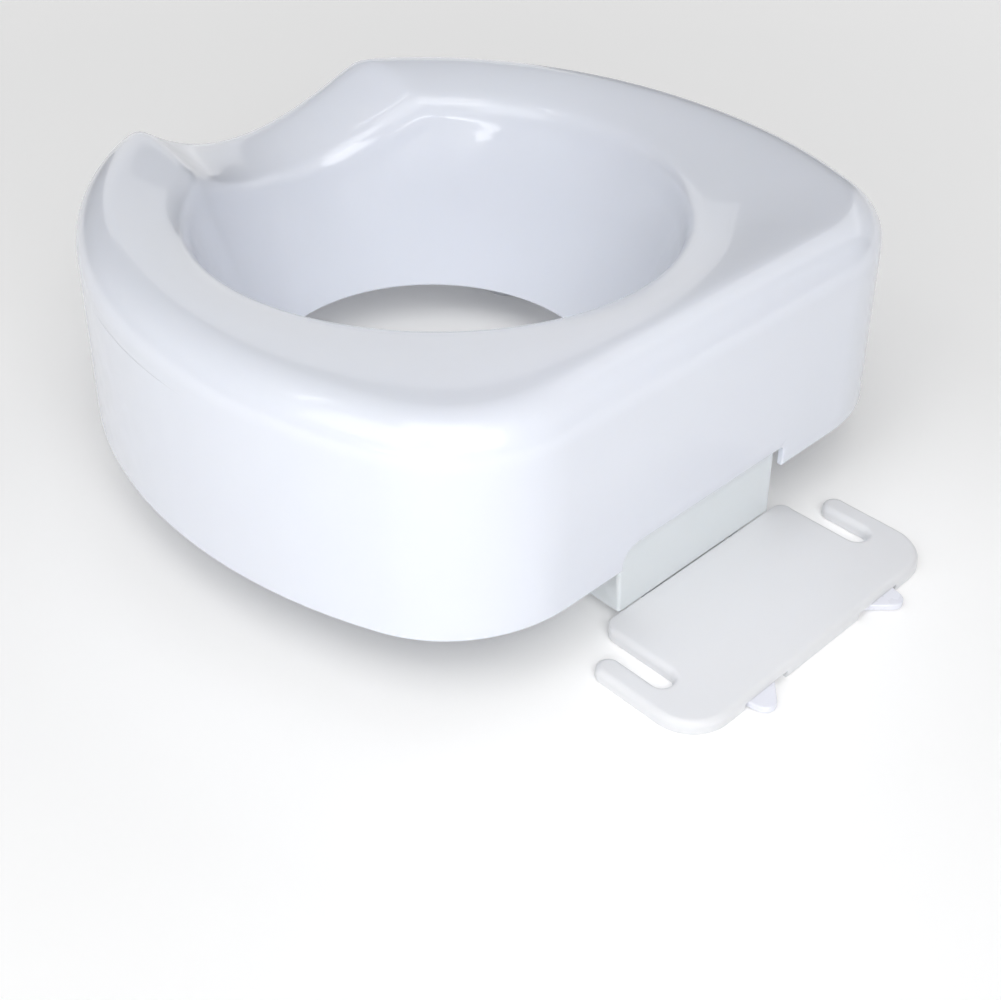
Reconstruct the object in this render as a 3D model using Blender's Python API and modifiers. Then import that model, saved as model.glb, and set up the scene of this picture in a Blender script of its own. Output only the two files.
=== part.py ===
"""Raised toilet seat with a lock-on bracket.

A moulded seat stands on four rubber pads.  A receiver under its rear wall holds the tongue of a slotted
bracket plate, which stays bolted to the toilet.  Two sprung levers under the plate grip the receiver's
rails, and their tails stick out behind as finger tabs.

Frame: +Z up, +Y towards the bracket, +X towards the sitter's left, z = 0 where the pads and plate stand.
"""

import math

import bmesh
import bpy
from mathutils import Matrix, Vector

MM = 0.001
GAP = 0.3 * MM

# Seat moulding
SEAT_LENGTH = 393.5 * MM
SEAT_HALF_WIDTH = 187.5 * MM
SEAT_REAR_Y = 157.0 * MM
SEAT_TOP_Z = 146.0 * MM
SKIRT_BOTTOM_Z = 39.0 * MM
WALL = 3.6 * MM
SIDE_DRAFT = 5.6 * MM
REAR_CORNER_RADIUS = 75.0 * MM
REAR_FLAT_HALF = 94.5 * MM
WIDEST_TO_REAR = 161.0 * MM
TOP_EDGE_RADIUS = 20.0 * MM

# Oval opening and the bowl wall that hangs inside it
OPENING_CENTRE_Y = SEAT_REAR_Y - 191.0 * MM
OPENING_HALF = (131.0 * MM, 141.0 * MM)
OPENING_LIP = (12.0 * MM, 20.0 * MM)
LIP_FULLNESS = 0.42
DECK_FALL = 8.0 * MM
BOWL_BOTTOM_HALF = (90.0 * MM, 98.0 * MM)
BOWL_BOTTOM_Y = SEAT_REAR_Y - 199.0 * MM
BOWL_BOTTOM_Z = 29.0 * MM

# Dip between the two front corners of the deck
DIP_CENTRE_X = -4.4 * MM
DIP_DEPTH = 33.3 * MM
DIP_RADIUS = 84.5 * MM
DIP_SOFTNESS = 2.3 * MM

# Notch in the rear wall
NOTCH_SIDES = (59.5 * MM, -54.0 * MM)
NOTCH_TOP_Z = 50.5 * MM
NOTCH_RADII = (9.0 * MM, 3.0 * MM)

# Receiver
WEB_Y = 151.0 * MM
RECEIVER_HALF_WIDTH = 55.0 * MM
RECEIVER_DEPTH = 50.0 * MM
RECEIVER_WALL = 3.0 * MM
RECEIVER_TOP_Z = 66.0 * MM
RECEIVER_RIB_TOP_Z = 30.0 * MM
RECEIVER_CORNER_RADIUS = 1.5 * MM
FLANGE_WIDTH = 15.0 * MM
RAIL_INNER_X = 22.5 * MM
RAIL_OUTER_X = 27.0 * MM
RAIL_LIP_X = 17.5 * MM
RAIL_LIP_TOP_Z = 2.6 * MM
RAIL_SETBACK = 4.0 * MM
FLANGE_SETBACK = 3.0 * MM
FLANGE_SCREW_INSET = 12.0 * MM
BOSS_RADIUS = 5.5 * MM

# Bracket plate
PLATE_THICKNESS = 7.5 * MM
PLATE_SKIN = 2.8 * MM
PLATE_RIM = 3.0 * MM
PLATE_EDGE_RADIUS = 2.0 * MM
PLATE_FRONT_Y = WEB_Y + GAP
PLATE_REAR_Y = WEB_Y + 76.5 * MM
BODY_HALF_WIDTH = 66.2 * MM
BODY_CORNER_RADIUS = 7.0 * MM
SLOT_WIDTH = 10.9 * MM
SLOT_END_Y = WEB_Y + 47.0 * MM
ARM_WIDTH = 12.3 * MM
ARM_TIP_Y = WEB_Y + 14.5 * MM
REAR_RADIUS = 22.0 * MM
TONGUE_HALF_WIDTH = RAIL_INNER_X - GAP
TONGUE_LENGTH = 48.0 * MM
TONGUE_BOTTOM_Z = RAIL_LIP_TOP_Z + GAP

# Latch levers
PIVOT = Vector((44.0 * MM, WEB_Y + 45.0 * MM, 0.0))
LEVER_BOTTOM_Z = 0.9 * MM
HUB_FACE_Z = 2.8 * MM
HUB_RECESS_RADIUS = 6.2 * MM
LEVER_TOP_Z = PLATE_THICKNESS - PLATE_SKIN - GAP
HUB_RADIUS = 8.5 * MM
ARM_HALF = 4.0 * MM
JAW_X = RAIL_OUTER_X + GAP
JAW_FRONT_Y = WEB_Y - 20.0 * MM
JAW_LENGTH = 9.0 * MM
TAB_INNER_X = 33.5 * MM
TAB_OUTER_X = 54.0 * MM
TAB_TIP = (47.4 * MM, WEB_Y + 80.0 * MM)
TAB_TIP_RADIUS = 5.5 * MM
TAIL_LENGTH = 9.0 * MM
TAB_WINDOW_SIDES = (7.0 * MM, 2.0 * MM)
TAB_WINDOW_DEPTH = 6.0 * MM
JAW_RELIEF = 3.0 * MM
JAW_TIP_WIDTH = 5.0 * MM
POST_RADIUS = 3.6 * MM

# Springs and screws
WIRE_RADIUS = 0.45 * MM
SPRING_COIL_RADIUS = 3.2 * MM
SPRING_PEG = Vector((21.0 * MM, WEB_Y + 66.0 * MM, 0.0))
SPRING_TURNS = 3
SPRING_STEPS = 12
SCREW_HEAD_RADIUS = 3.8 * MM
SCREW_HEAD_HEIGHT = 2.4 * MM
SCREW_SHANK_RADIUS = 1.5 * MM
WASHER_THICKNESS = 0.4 * MM
LEVER_SCREW_HEAD_HEIGHT = 1.2 * MM
SEAT = 0.1 * MM
LEVER_SCREW_LENGTH = 4.0 * MM
PAD_SCREW_LENGTH = 14.0 * MM
RECEIVER_SCREW_LENGTH = 13.0 * MM

# Legs and pads
LEG_PLACES = {
    "front_left": (128.0 * MM, -118.0 * MM),
    "front_right": (-128.0 * MM, -118.0 * MM),
    "rear_left": (115.0 * MM, 59.0 * MM),
    "rear_right": (-115.0 * MM, 59.0 * MM),
}
LEG_CORE_TOP_Z = 66.0 * MM
LEG_CORE_RADIUS = 5.0 * MM
LEG_REACH = 10.0 * MM
RIB_REACH = 90.0 * MM
PAD_RADIUS = 14.0 * MM
PAD_HEIGHT = 11.0 * MM
PAD_RECESS_RADIUS = 5.5 * MM
PAD_RECESS_DEPTH = 6.0 * MM
RIB = 3.0 * MM
RIB_BOTTOM_Z = 76.0 * MM

SEAT_COLOUR = (0.80, 0.82, 0.88)
RECEIVER_COLOUR = (0.76, 0.80, 0.81)
PLATE_COLOUR = (0.82, 0.83, 0.84)
LEVER_COLOUR = (0.80, 0.81, 0.88)
STEEL_COLOUR = (0.55, 0.56, 0.58)
RUBBER_COLOUR = (0.62, 0.64, 0.66)


# ---------------------------------------------------------------- scene and object helpers


def clear_scene():
    for item in list(bpy.data.objects):
        bpy.data.objects.remove(item, do_unlink=True)


def new_collection(name):
    group = bpy.data.collections.new(name)
    bpy.context.scene.collection.children.link(group)
    return group


def material(name, colour, roughness, metallic=0.0):
    made = bpy.data.materials.new(name)
    made.use_nodes = True
    shader = made.node_tree.nodes["Principled BSDF"]
    shader.inputs["Base Color"].default_value = (*colour, 1.0)
    shader.inputs["Roughness"].default_value = roughness
    shader.inputs["Metallic"].default_value = metallic
    return made


def object_from_bmesh(bm, name, group):
    mesh = bpy.data.meshes.new(name)
    bmesh.ops.recalc_face_normals(bm, faces=bm.faces)
    bm.to_mesh(mesh)
    bm.free()
    made = bpy.data.objects.new(name, mesh)
    group.objects.link(made)
    return made


def box(name, group, low, high):
    bm = bmesh.new()
    size = [b - a for a, b in zip(low, high)]
    centre = [(a + b) / 2 for a, b in zip(low, high)]
    bmesh.ops.create_cube(bm, size=1.0)
    bmesh.ops.scale(bm, vec=size, verts=bm.verts)
    bmesh.ops.translate(bm, vec=centre, verts=bm.verts)
    return object_from_bmesh(bm, name, group)


def cylinder(name, group, place, radius, low_z, high_z, sides=24):
    bm = bmesh.new()
    centre = Vector((place[0], place[1], (low_z + high_z) / 2))
    bmesh.ops.create_cone(
        bm, cap_ends=True, segments=sides, radius1=radius, radius2=radius,
        depth=high_z - low_z, matrix=Matrix.Translation(centre),
    )
    return object_from_bmesh(bm, name, group)


def turned(name, group, place, profile, sides=24):
    """A solid of revolution: the profile is (radius, z) points down the outer side, top to bottom.

    A profile that starts on the axis ends on it too.  Any other profile is a closed ring section.
    """
    mesh = bpy.data.meshes.new(name)
    points = [(radius, 0.0, z) for radius, z in profile]
    edges = [(i, i + 1) for i in range(len(points) - 1)]
    if profile[0][0] > 0.0:
        edges.append((len(points) - 1, 0))
    mesh.from_pydata(points, edges, [])
    made = bpy.data.objects.new(name, mesh)
    group.objects.link(made)
    made.location = (place[0], place[1], 0.0)
    screw = made.modifiers.new("Turn", "SCREW")
    screw.steps = sides
    screw.render_steps = sides
    screw.use_merge_vertices = True
    screw.merge_threshold = 0.00001
    return made


def arc(centre, radius, start, end, steps):
    """Points of an arc; the angles are in degrees."""
    angles = [math.radians(start + (end - start) * i / steps) for i in range(steps + 1)]
    return [(centre[0] + radius * math.cos(a), centre[1] + radius * math.sin(a)) for a in angles]


def outline_solid(name, group, points, low_z, high_z, edge_radius=0.0):
    """A flat outline extruded from low_z to high_z, as a closed mesh."""
    curve = bpy.data.curves.new(name, "CURVE")
    curve.dimensions = "2D"
    curve.fill_mode = "BOTH"
    curve.extrude = (high_z - low_z) / 2 - edge_radius
    curve.bevel_depth = edge_radius
    curve.bevel_resolution = 2
    curve.offset = -edge_radius
    spline = curve.splines.new("POLY")
    spline.points.add(len(points) - 1)
    for point, (x, y) in zip(spline.points, points):
        point.co = (x, y, 0.0, 1.0)
    spline.use_cyclic_u = True
    drawn = bpy.data.objects.new(name + "_curve", curve)
    group.objects.link(drawn)
    drawn.location.z = (low_z + high_z) / 2
    return meshed(drawn, name, group)


def meshed(drawn, name, group):
    """Turns a curve object into a welded mesh object in the same place."""
    bpy.context.view_layer.update()
    graph = bpy.context.evaluated_depsgraph_get()
    mesh = bpy.data.meshes.new_from_object(drawn.evaluated_get(graph))
    bm = bmesh.new()
    bm.from_mesh(mesh)
    bmesh.ops.remove_doubles(bm, verts=bm.verts, dist=0.00001)
    bmesh.ops.recalc_face_normals(bm, faces=bm.faces)
    bm.to_mesh(mesh)
    bm.free()
    made = bpy.data.objects.new(name, mesh)
    made.matrix_world = drawn.matrix_world
    group.objects.link(made)
    bpy.data.objects.remove(drawn, do_unlink=True)
    return made


def combine(target, others, operation):
    """Adds one EXACT Boolean per object in others, and files those objects as cutters."""
    for other in others:
        step = target.modifiers.new(f"{operation.title()} {other.name}", "BOOLEAN")
        step.operation = operation
        step.solver = "EXACT"
        step.object = other
        other.hide_render = True
        other.display_type = "WIRE"


def wire_curve(name, group, points, radius):
    curve = bpy.data.curves.new(name, "CURVE")
    curve.dimensions = "3D"
    curve.bevel_depth = radius
    curve.bevel_resolution = 2
    curve.use_fill_caps = True
    spline = curve.splines.new("POLY")
    spline.points.add(len(points) - 1)
    for point, place in zip(spline.points, points):
        point.co = (*place, 1.0)
    made = bpy.data.objects.new(name, curve)
    group.objects.link(made)
    return made


def finish(made, look, smooth_angle=40.0):
    made.data.materials.clear()
    made.data.materials.append(look)
    if made.type == "MESH":
        made.data.shade_smooth()
        made.data.set_sharp_from_angle(angle=math.radians(smooth_angle))
    return made


def mirrored(points):
    return [(-x, y) for x, y in reversed(points)]


def side_name(side):
    return "left" if side > 0 else "right"


# ---------------------------------------------------------------- seat moulding


def plan_outline(front_steps=18, corner_steps=7, side_steps=3, rear_steps=2):
    """Bottom outline of the skirt as (point, outward normal), from the rear centre round by +X."""
    run = SEAT_HALF_WIDTH - REAR_FLAT_HALF
    reach = WIDEST_TO_REAR - REAR_CORNER_RADIUS
    side_radius = (run**2 + reach**2 - REAR_CORNER_RADIUS**2) / (2 * (run - REAR_CORNER_RADIUS))
    widest_y = SEAT_REAR_Y - WIDEST_TO_REAR
    corner = Vector((REAR_FLAT_HALF, SEAT_REAR_Y - REAR_CORNER_RADIUS))
    side = Vector((SEAT_HALF_WIDTH - side_radius, widest_y))
    joint_angle = math.atan2(corner.y - side.y, corner.x - side.x)
    front_reach = SEAT_LENGTH - WIDEST_TO_REAR
    half = []
    for i in range(rear_steps):
        half.append((Vector((REAR_FLAT_HALF * i / rear_steps, SEAT_REAR_Y)), Vector((0.0, 1.0))))
    for i in range(corner_steps):
        angle = math.pi / 2 + (joint_angle - math.pi / 2) * i / corner_steps
        normal = Vector((math.cos(angle), math.sin(angle)))
        half.append((corner + REAR_CORNER_RADIUS * normal, normal))
    for i in range(side_steps):
        angle = joint_angle * (1 - i / side_steps)
        normal = Vector((math.cos(angle), math.sin(angle)))
        half.append((side + side_radius * normal, normal))
    for i in range(front_steps + 1):
        angle = math.pi / 2 * i / front_steps
        point = Vector((SEAT_HALF_WIDTH * math.cos(angle), widest_y - front_reach * math.sin(angle)))
        normal = Vector((math.cos(angle) / SEAT_HALF_WIDTH, -math.sin(angle) / front_reach)).normalized()
        half.append((point, normal))
    other = [(Vector((-p.x, p.y)), Vector((-n.x, n.y))) for p, n in half[1:-1]]
    return half + other[::-1]


def dip(x, y):
    """How far the deck is lowered by the front dip."""
    if y > SEAT_REAR_Y - WIDEST_TO_REAR:
        return 0.0
    trough = (x - DIP_CENTRE_X) ** 2 / (2 * DIP_RADIUS) - DIP_DEPTH
    return (math.hypot(trough, DIP_SOFTNESS) - trough) / 2


def oval(half, centre_y, angle):
    return Vector((half[0] * math.cos(angle), centre_y + half[1] * math.sin(angle)))


def soft_bend(start, leaving, end, arriving, steps):
    """Points of a smooth bend that leaves start and arrives at end along the given directions."""
    reach = LIP_FULLNESS * (end - start).length
    first = start + reach * leaving
    second = end - reach * arriving
    points = []
    for i in range(steps + 1):
        t = i / steps
        u = 1 - t
        points.append(u**3 * start + 3 * u * u * t * first + 3 * u * t * t * second + t**3 * end)
    return points


def section(point, normal, wall_steps=2, edge_steps=5, deck_steps=4, lip_steps=3, bowl_steps=2):
    """One radial section of the seat's outer surface, from the skirt's bottom to the bowl wall's."""
    draft = SIDE_DRAFT * min(1.0, max(0.0, 1.0 - normal.y))
    spring_z = SEAT_TOP_Z - TOP_EDGE_RADIUS
    rows = []

    def add(flat, z, share=1.0):
        rows.append(Vector((flat.x, flat.y, z - share * dip(flat.x, flat.y))))

    for i in range(wall_steps):
        share = i / wall_steps
        z = SKIRT_BOTTOM_Z + share * (spring_z - SKIRT_BOTTOM_Z)
        add(point - share * draft * normal, z, share)
    for i in range(edge_steps):
        angle = math.pi / 2 * i / edge_steps
        inset = draft + TOP_EDGE_RADIUS * (1 - math.cos(angle))
        add(point - inset * normal, spring_z + TOP_EDGE_RADIUS * math.sin(angle))
    crown = point - (draft + TOP_EDGE_RADIUS) * normal
    angle = math.atan2((crown.y - OPENING_CENTRE_Y) / OPENING_HALF[1], crown.x / OPENING_HALF[0])
    rim = oval(OPENING_HALF, OPENING_CENTRE_Y, angle)
    for i in range(deck_steps):
        share = i / deck_steps
        add(crown.lerp(rim, share), SEAT_TOP_Z - DECK_FALL * share**1.5)
    start = Vector((rim.x, rim.y, SEAT_TOP_Z - DECK_FALL))
    half = [size - OPENING_LIP[0] for size in OPENING_HALF]
    end = oval(half, OPENING_CENTRE_Y, angle).to_3d()
    end.z = start.z - OPENING_LIP[1]
    foot = oval(BOWL_BOTTOM_HALF, BOWL_BOTTOM_Y, angle).to_3d()
    foot.z = BOWL_BOTTOM_Z
    inward = (rim - crown).to_3d()
    inward.z = -1.5 * DECK_FALL
    down = foot - end
    down.z += dip(end.x, end.y)
    for place in soft_bend(start, inward.normalized(), end, down.normalized(), lip_steps):
        add(place.xy, place.z)
    top = rows[-1]
    rows += [top.lerp(foot, (i + 1) / bowl_steps) for i in range(bowl_steps)]
    return rows


def loft(bm, sections):
    """Joins the sections, taken in a closed ring, with quads."""
    grid = [[bm.verts.new(point) for point in rows] for rows in sections]
    for left, right in zip(grid, grid[1:] + grid[:1]):
        for i in range(len(left) - 1):
            bm.faces.new((left[i], right[i], right[i + 1], left[i + 1]))
    return grid


def seat_skin(name, group):
    bm = bmesh.new()
    loft(bm, [section(point, normal) for point, normal in plan_outline()])
    bmesh.ops.recalc_face_normals(bm, faces=bm.faces)
    if max(bm.faces, key=lambda f: f.calc_center_median().z).normal.z < 0:
        bmesh.ops.reverse_faces(bm, faces=bm.faces)
    mesh = bpy.data.meshes.new(name)
    bm.to_mesh(mesh)
    bm.free()
    made = bpy.data.objects.new(name, mesh)
    group.objects.link(made)
    return made


def seat_core(name, group):
    """The closed space that the ribs may fill: half a wall in from the skin, and open below."""
    bm = bmesh.new()
    inset = WALL / 2
    sections = []
    for point, normal in plan_outline():
        rows = section(point, normal)
        inner = []
        for i, place in enumerate(rows):
            along = rows[min(i + 1, len(rows) - 1)] - rows[max(i - 1, 0)]
            side = Vector((-normal.y, normal.x, 0.0))
            inward = along.cross(side).normalized()
            inner.append(place + inset * inward)
        low = [Vector((inner[0].x, inner[0].y, 0.0)), Vector((inner[-1].x, inner[-1].y, 0.0))]
        sections.append([low[0]] + inner + [low[1]])
    grid = loft(bm, sections)
    for left, right in zip(grid, grid[1:] + grid[:1]):
        bm.faces.new((left[0], left[-1], right[-1], right[0]))
    return object_from_bmesh(bm, name, group)


def leg_boxes(parts, name, place):
    """A cross-shaped leg whose two plates widen into ribs under the deck."""
    x, y = place
    foot = PAD_HEIGHT + GAP
    half = RIB / 2
    thin = half - 0.1 * MM
    top = SEAT_TOP_Z + 5.0 * MM
    shapes = [
        ((x - RIB_REACH, y - thin, RIB_BOTTOM_Z), (x + RIB_REACH, y + thin, top)),
        ((x - LEG_REACH, y - half, foot), (x + LEG_REACH, y + half, top + 1.0 * MM)),
        ((x - half, y - LEG_REACH, foot), (x + half, y + LEG_REACH, top + 2.0 * MM)),
    ]
    boxes = [box(f"rib_{name}_{i}", parts, low, high) for i, (low, high) in enumerate(shapes)]
    boxes.append(cylinder(f"leg_core_{name}", parts, place, LEG_CORE_RADIUS, foot, LEG_CORE_TOP_Z, 12))
    return boxes


def flange_screw_places():
    x = RECEIVER_HALF_WIDTH + FLANGE_WIDTH / 2
    front = WEB_Y - RECEIVER_DEPTH + FLANGE_SCREW_INSET
    rear = WEB_Y - FLANGE_SCREW_INSET
    return {
        "front_left": (x, front),
        "front_right": (-x, front),
        "rear_left": (x, rear),
        "rear_right": (-x, rear),
    }


def notch_cutter(cutters):
    left, right = NOTCH_SIDES
    left_radius, right_radius = NOTCH_RADII
    top = NOTCH_TOP_Z
    points = [(left, 0.0)]
    points += arc((left - left_radius, top - left_radius), left_radius, 0, 90, 5)
    points += arc((right + right_radius, top - right_radius), right_radius, 90, 180, 5)
    points += [(right, 0.0)]
    cutter = outline_solid("notch_cutter", cutters, points, -10.0 * MM, 10.0 * MM)
    turn = Matrix.Translation((0.0, SEAT_REAR_Y, 0.0)) @ Matrix.Rotation(math.pi / 2, 4, "X")
    cutter.data.transform(turn)
    return cutter


def seat_shell(parts, cutters, look):
    shell = seat_skin("seat_shell", parts)
    thick = shell.modifiers.new("Wall", "SOLIDIFY")
    thick.thickness = WALL
    thick.offset = -1.0
    thick.use_even_offset = True
    core = seat_core("rib_space", cutters)
    inner = []
    for name, place in LEG_PLACES.items():
        inner += leg_boxes(cutters, name, place)
    boss_low = RECEIVER_TOP_Z + GAP
    for name, place in flange_screw_places().items():
        inner.append(cylinder(f"boss_{name}", cutters, place, BOSS_RADIUS, boss_low, SEAT_TOP_Z, 16))
    ribs = inner[0]
    combine(ribs, inner[1:], "UNION")
    combine(ribs, [core], "INTERSECT")
    combine(shell, [ribs], "UNION")
    holes = [notch_cutter(cutters)]
    pilot = SCREW_SHANK_RADIUS + GAP
    for name, place in flange_screw_places().items():
        top = boss_low + RECEIVER_SCREW_LENGTH
        holes.append(cylinder(f"pilot_{name}", cutters, place, pilot, 0.0, top, 12))
    for name, place in LEG_PLACES.items():
        top = PAD_HEIGHT + PAD_SCREW_LENGTH - 2.0 * MM
        holes.append(cylinder(f"leg_pilot_{name}", cutters, place, pilot, 0.0, top, 12))
    combine(shell, holes, "DIFFERENCE")
    return finish(shell, look)


# ---------------------------------------------------------------- receiver and bracket plate


def lock_receiver(parts, cutters, look):
    half = RECEIVER_HALF_WIDTH
    wall = RECEIVER_WALL
    floor_z = PLATE_THICKNESS + GAP
    front = WEB_Y - RECEIVER_DEPTH
    body = box("lock_receiver", parts, (-half, front, floor_z), (half, WEB_Y, RECEIVER_TOP_Z))
    edges = body.modifiers.new("Corner radius", "BEVEL")
    edges.width = RECEIVER_CORNER_RADIUS
    edges.segments = 3
    edges.limit_method = "WEIGHT"
    weights = body.data.attributes.new("bevel_weight_edge", "FLOAT", "EDGE")
    for edge, weight in zip(body.data.edges, weights.data):
        ends = [body.data.vertices[i].co for i in edge.vertices]
        upright = abs(ends[0].z - ends[1].z) > 1.0 * MM
        weight.value = 1.0 if upright and ends[0].y > front + 1.0 * MM else 0.0
    hollow = box(
        "receiver_hollow", cutters,
        (-half + wall, front - wall, floor_z + wall), (half - wall, WEB_Y - wall, RECEIVER_TOP_Z + wall),
    )
    combine(body, [hollow], "DIFFERENCE")
    added = []
    rib_low = (-half + wall / 2, front + 2.0 * MM, floor_z + wall / 2)
    for side in (-1, 1):
        name = side_name(side)
        added.append(span_box(f"flange_{name}", cutters, side,
                              (half - wall / 2, front, RECEIVER_TOP_Z - wall),
                              (half + FLANGE_WIDTH, WEB_Y - FLANGE_SETBACK, RECEIVER_TOP_Z)))
        added.append(span_box(f"rail_{name}", cutters, side,
                              (RAIL_INNER_X, front, GAP),
                              (RAIL_OUTER_X, WEB_Y - RAIL_SETBACK, floor_z + wall / 2)))
        added.append(span_box(f"rail_lip_{name}", cutters, side,
                              (RAIL_LIP_X, front, GAP),
                              (RAIL_INNER_X + 1.0 * MM, WEB_Y - RAIL_SETBACK, RAIL_LIP_TOP_Z)))
        added.append(span_box(f"receiver_rib_{name}", cutters, side,
                              (RAIL_INNER_X, rib_low[1], rib_low[2]),
                              (RAIL_INNER_X + wall, WEB_Y - wall / 2, RECEIVER_RIB_TOP_Z)))
    combine(body, added, "UNION")
    clear = SCREW_SHANK_RADIUS + GAP
    holes = []
    for name, place in flange_screw_places().items():
        holes.append(cylinder(f"flange_hole_{name}", cutters, place, clear,
                              RECEIVER_TOP_Z - 2 * wall, RECEIVER_TOP_Z + wall, 12))
    combine(body, holes, "DIFFERENCE")
    return finish(body, look)


def span_box(name, group, side, low, high):
    """A box given on the +X side, put on either side of the middle plane."""
    ends = sorted((side * low[0], side * high[0]))
    return box(name, group, (ends[0], low[1], low[2]), (ends[1], high[1], high[2]))


def plate_outline(inset=0.0):
    """Plan of the bracket plate; a positive inset gives the outline of the pocket under its body."""
    body = BODY_HALF_WIDTH - inset
    front = PLATE_FRONT_Y + inset
    rear = PLATE_REAR_Y - inset
    corner = BODY_CORNER_RADIUS - inset
    half = arc((body - corner, front + corner), corner, -90, 0, 6)
    if inset:
        half += [(body, rear)]
        return half + mirrored(half)
    slot = SLOT_WIDTH / 2
    tip = ARM_WIDTH / 2
    slot_x = body + slot
    arm_x = body + SLOT_WIDTH + tip
    outer = body + SLOT_WIDTH + ARM_WIDTH
    half += arc((slot_x, SLOT_END_Y - slot), slot, 180, 0, 8)
    half += arc((arm_x, ARM_TIP_Y + tip), tip, 180, 360, 10)
    half += arc((outer - REAR_RADIUS, rear - REAR_RADIUS), REAR_RADIUS, 0, 90, 8)
    return half + mirrored(half)


def lock_plate(parts, cutters, look):
    plate = outline_solid("lock_plate", parts, plate_outline(), 0.0, PLATE_THICKNESS, PLATE_EDGE_RADIUS)
    roof = PLATE_THICKNESS - PLATE_SKIN
    pocket = outline_solid("plate_pocket", cutters, plate_outline(PLATE_RIM), -1.0 * MM, roof)
    rim_cuts = [pocket]
    inner_side, outer_side = TAB_WINDOW_SIDES
    for side in (-1, 1):
        name = side_name(side)
        rim_cuts.append(span_box(f"tab_window_{name}", cutters, side,
                                 (TAB_INNER_X - inner_side, PLATE_REAR_Y - TAB_WINDOW_DEPTH, -1.0 * MM),
                                 (TAB_OUTER_X + outer_side, PLATE_REAR_Y + 2.0 * MM, roof)))
        rim_cuts.append(span_box(f"jaw_window_{name}", cutters, side,
                                 (RAIL_OUTER_X - 1.5 * MM, PLATE_FRONT_Y - 1.0 * MM, -1.0 * MM),
                                 (JAW_X + 17.0 * MM, PLATE_FRONT_Y + 6.0 * MM, roof)))
    combine(plate, rim_cuts, "DIFFERENCE")
    root = PLATE_FRONT_Y + PLATE_RIM
    added = [
        box("tongue", cutters, (-TONGUE_HALF_WIDTH, WEB_Y - TONGUE_LENGTH, TONGUE_BOTTOM_Z),
            (TONGUE_HALF_WIDTH, root, PLATE_THICKNESS - 0.2 * MM)),
        box("centre_rib", cutters, (-RIB / 2, root - 1.0 * MM, 0.5 * MM),
            (RIB / 2, PLATE_REAR_Y - 1.0 * MM, roof + 1.0 * MM)),
    ]
    for side in (-1, 1):
        name = side_name(side)
        pivot = (side * PIVOT.x, PIVOT.y)
        peg = (side * SPRING_PEG.x, SPRING_PEG.y)
        peg_radius = SPRING_COIL_RADIUS - WIRE_RADIUS - GAP
        added.append(cylinder(f"pivot_post_{name}", cutters, pivot, POST_RADIUS,
                              HUB_FACE_Z, roof + 1.0 * MM))
        added.append(cylinder(f"spring_peg_{name}", cutters, peg, peg_radius, 0.6 * MM, roof + 1.0 * MM, 16))
    combine(plate, added, "UNION")
    pilots = []
    for side in (-1, 1):
        name = side_name(side)
        pilots.append(cylinder(f"pivot_pilot_{name}", cutters, (side * PIVOT.x, PIVOT.y),
                               SCREW_SHANK_RADIUS + GAP, -1.0 * MM, PLATE_THICKNESS - 1.0 * MM, 12))
    combine(plate, pilots, "DIFFERENCE")
    return finish(plate, look)


# ---------------------------------------------------------------- latch


def lever_outline():
    """Plan of the left lever: jaw in front, hub, and the tail that ends in a finger tab."""
    tail_y = PLATE_REAR_Y - TAIL_LENGTH
    points = [
        (JAW_X, JAW_FRONT_Y),
        (JAW_X + JAW_TIP_WIDTH, JAW_FRONT_Y),
        (JAW_X + 2 * ARM_HALF, WEB_Y + 4.0 * MM),
        (PIVOT.x + ARM_HALF, PIVOT.y - 10.0 * MM),
    ]
    points += arc(PIVOT, HUB_RADIUS, -55, 50, 8)
    points += [(TAB_OUTER_X, tail_y), (TAB_OUTER_X, PLATE_REAR_Y - 1.0 * MM)]
    points += arc(TAB_TIP, TAB_TIP_RADIUS, 10, 140, 8)
    points += [(TAB_INNER_X, PLATE_REAR_Y - 2.0 * MM), (TAB_INNER_X, tail_y)]
    points += arc(PIVOT, HUB_RADIUS, 130, 215, 7)
    relieved = JAW_X + JAW_RELIEF
    jaw_end = JAW_FRONT_Y + JAW_LENGTH
    points += [(PIVOT.x - ARM_HALF - JAW_RELIEF, PIVOT.y - 14.0 * MM), (relieved, WEB_Y + 2.0 * MM)]
    points += [(relieved, jaw_end), (JAW_X, jaw_end - JAW_RELIEF)]
    return points


def latch_lever(side, parts, cutters, look):
    name = side_name(side)
    outline = [(x - PIVOT.x, y - PIVOT.y) for x, y in lever_outline()]
    if side < 0:
        outline = mirrored(outline)
    lever = outline_solid(f"latch_lever_{name}", parts, outline, LEVER_BOTTOM_Z, LEVER_TOP_Z)
    lever.data.transform(lever.matrix_world)
    place = (side * PIVOT.x, PIVOT.y)
    lever.matrix_world = Matrix.Translation((*place, 0.0))
    bore = cylinder(f"lever_bore_{name}", cutters, place, POST_RADIUS + GAP, 0.0, 6.0 * MM)
    recess = cylinder(f"hub_recess_{name}", cutters, place, HUB_RECESS_RADIUS, 0.0, HUB_FACE_Z)
    combine(lever, [bore, recess], "DIFFERENCE")
    return finish(lever, look)


def screw_profile(head_z, head_height, length):
    """A pan head under a shank that points up; its drive is a shallow dish."""
    head = SCREW_HEAD_RADIUS
    shank = SCREW_SHANK_RADIUS
    top = head_z + head_height + length
    return [
        (0.0, top),
        (shank * 0.4, top),
        (shank, top - 1.5 * MM),
        (shank, head_z + head_height),
        (head, head_z + head_height),
        (head, head_z + head_height * 0.35),
        (head - 0.8 * MM, head_z),
        (1.6 * MM, head_z),
        (1.2 * MM, head_z + head_height * 0.5),
        (0.0, head_z + head_height * 0.5),
    ]


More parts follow.
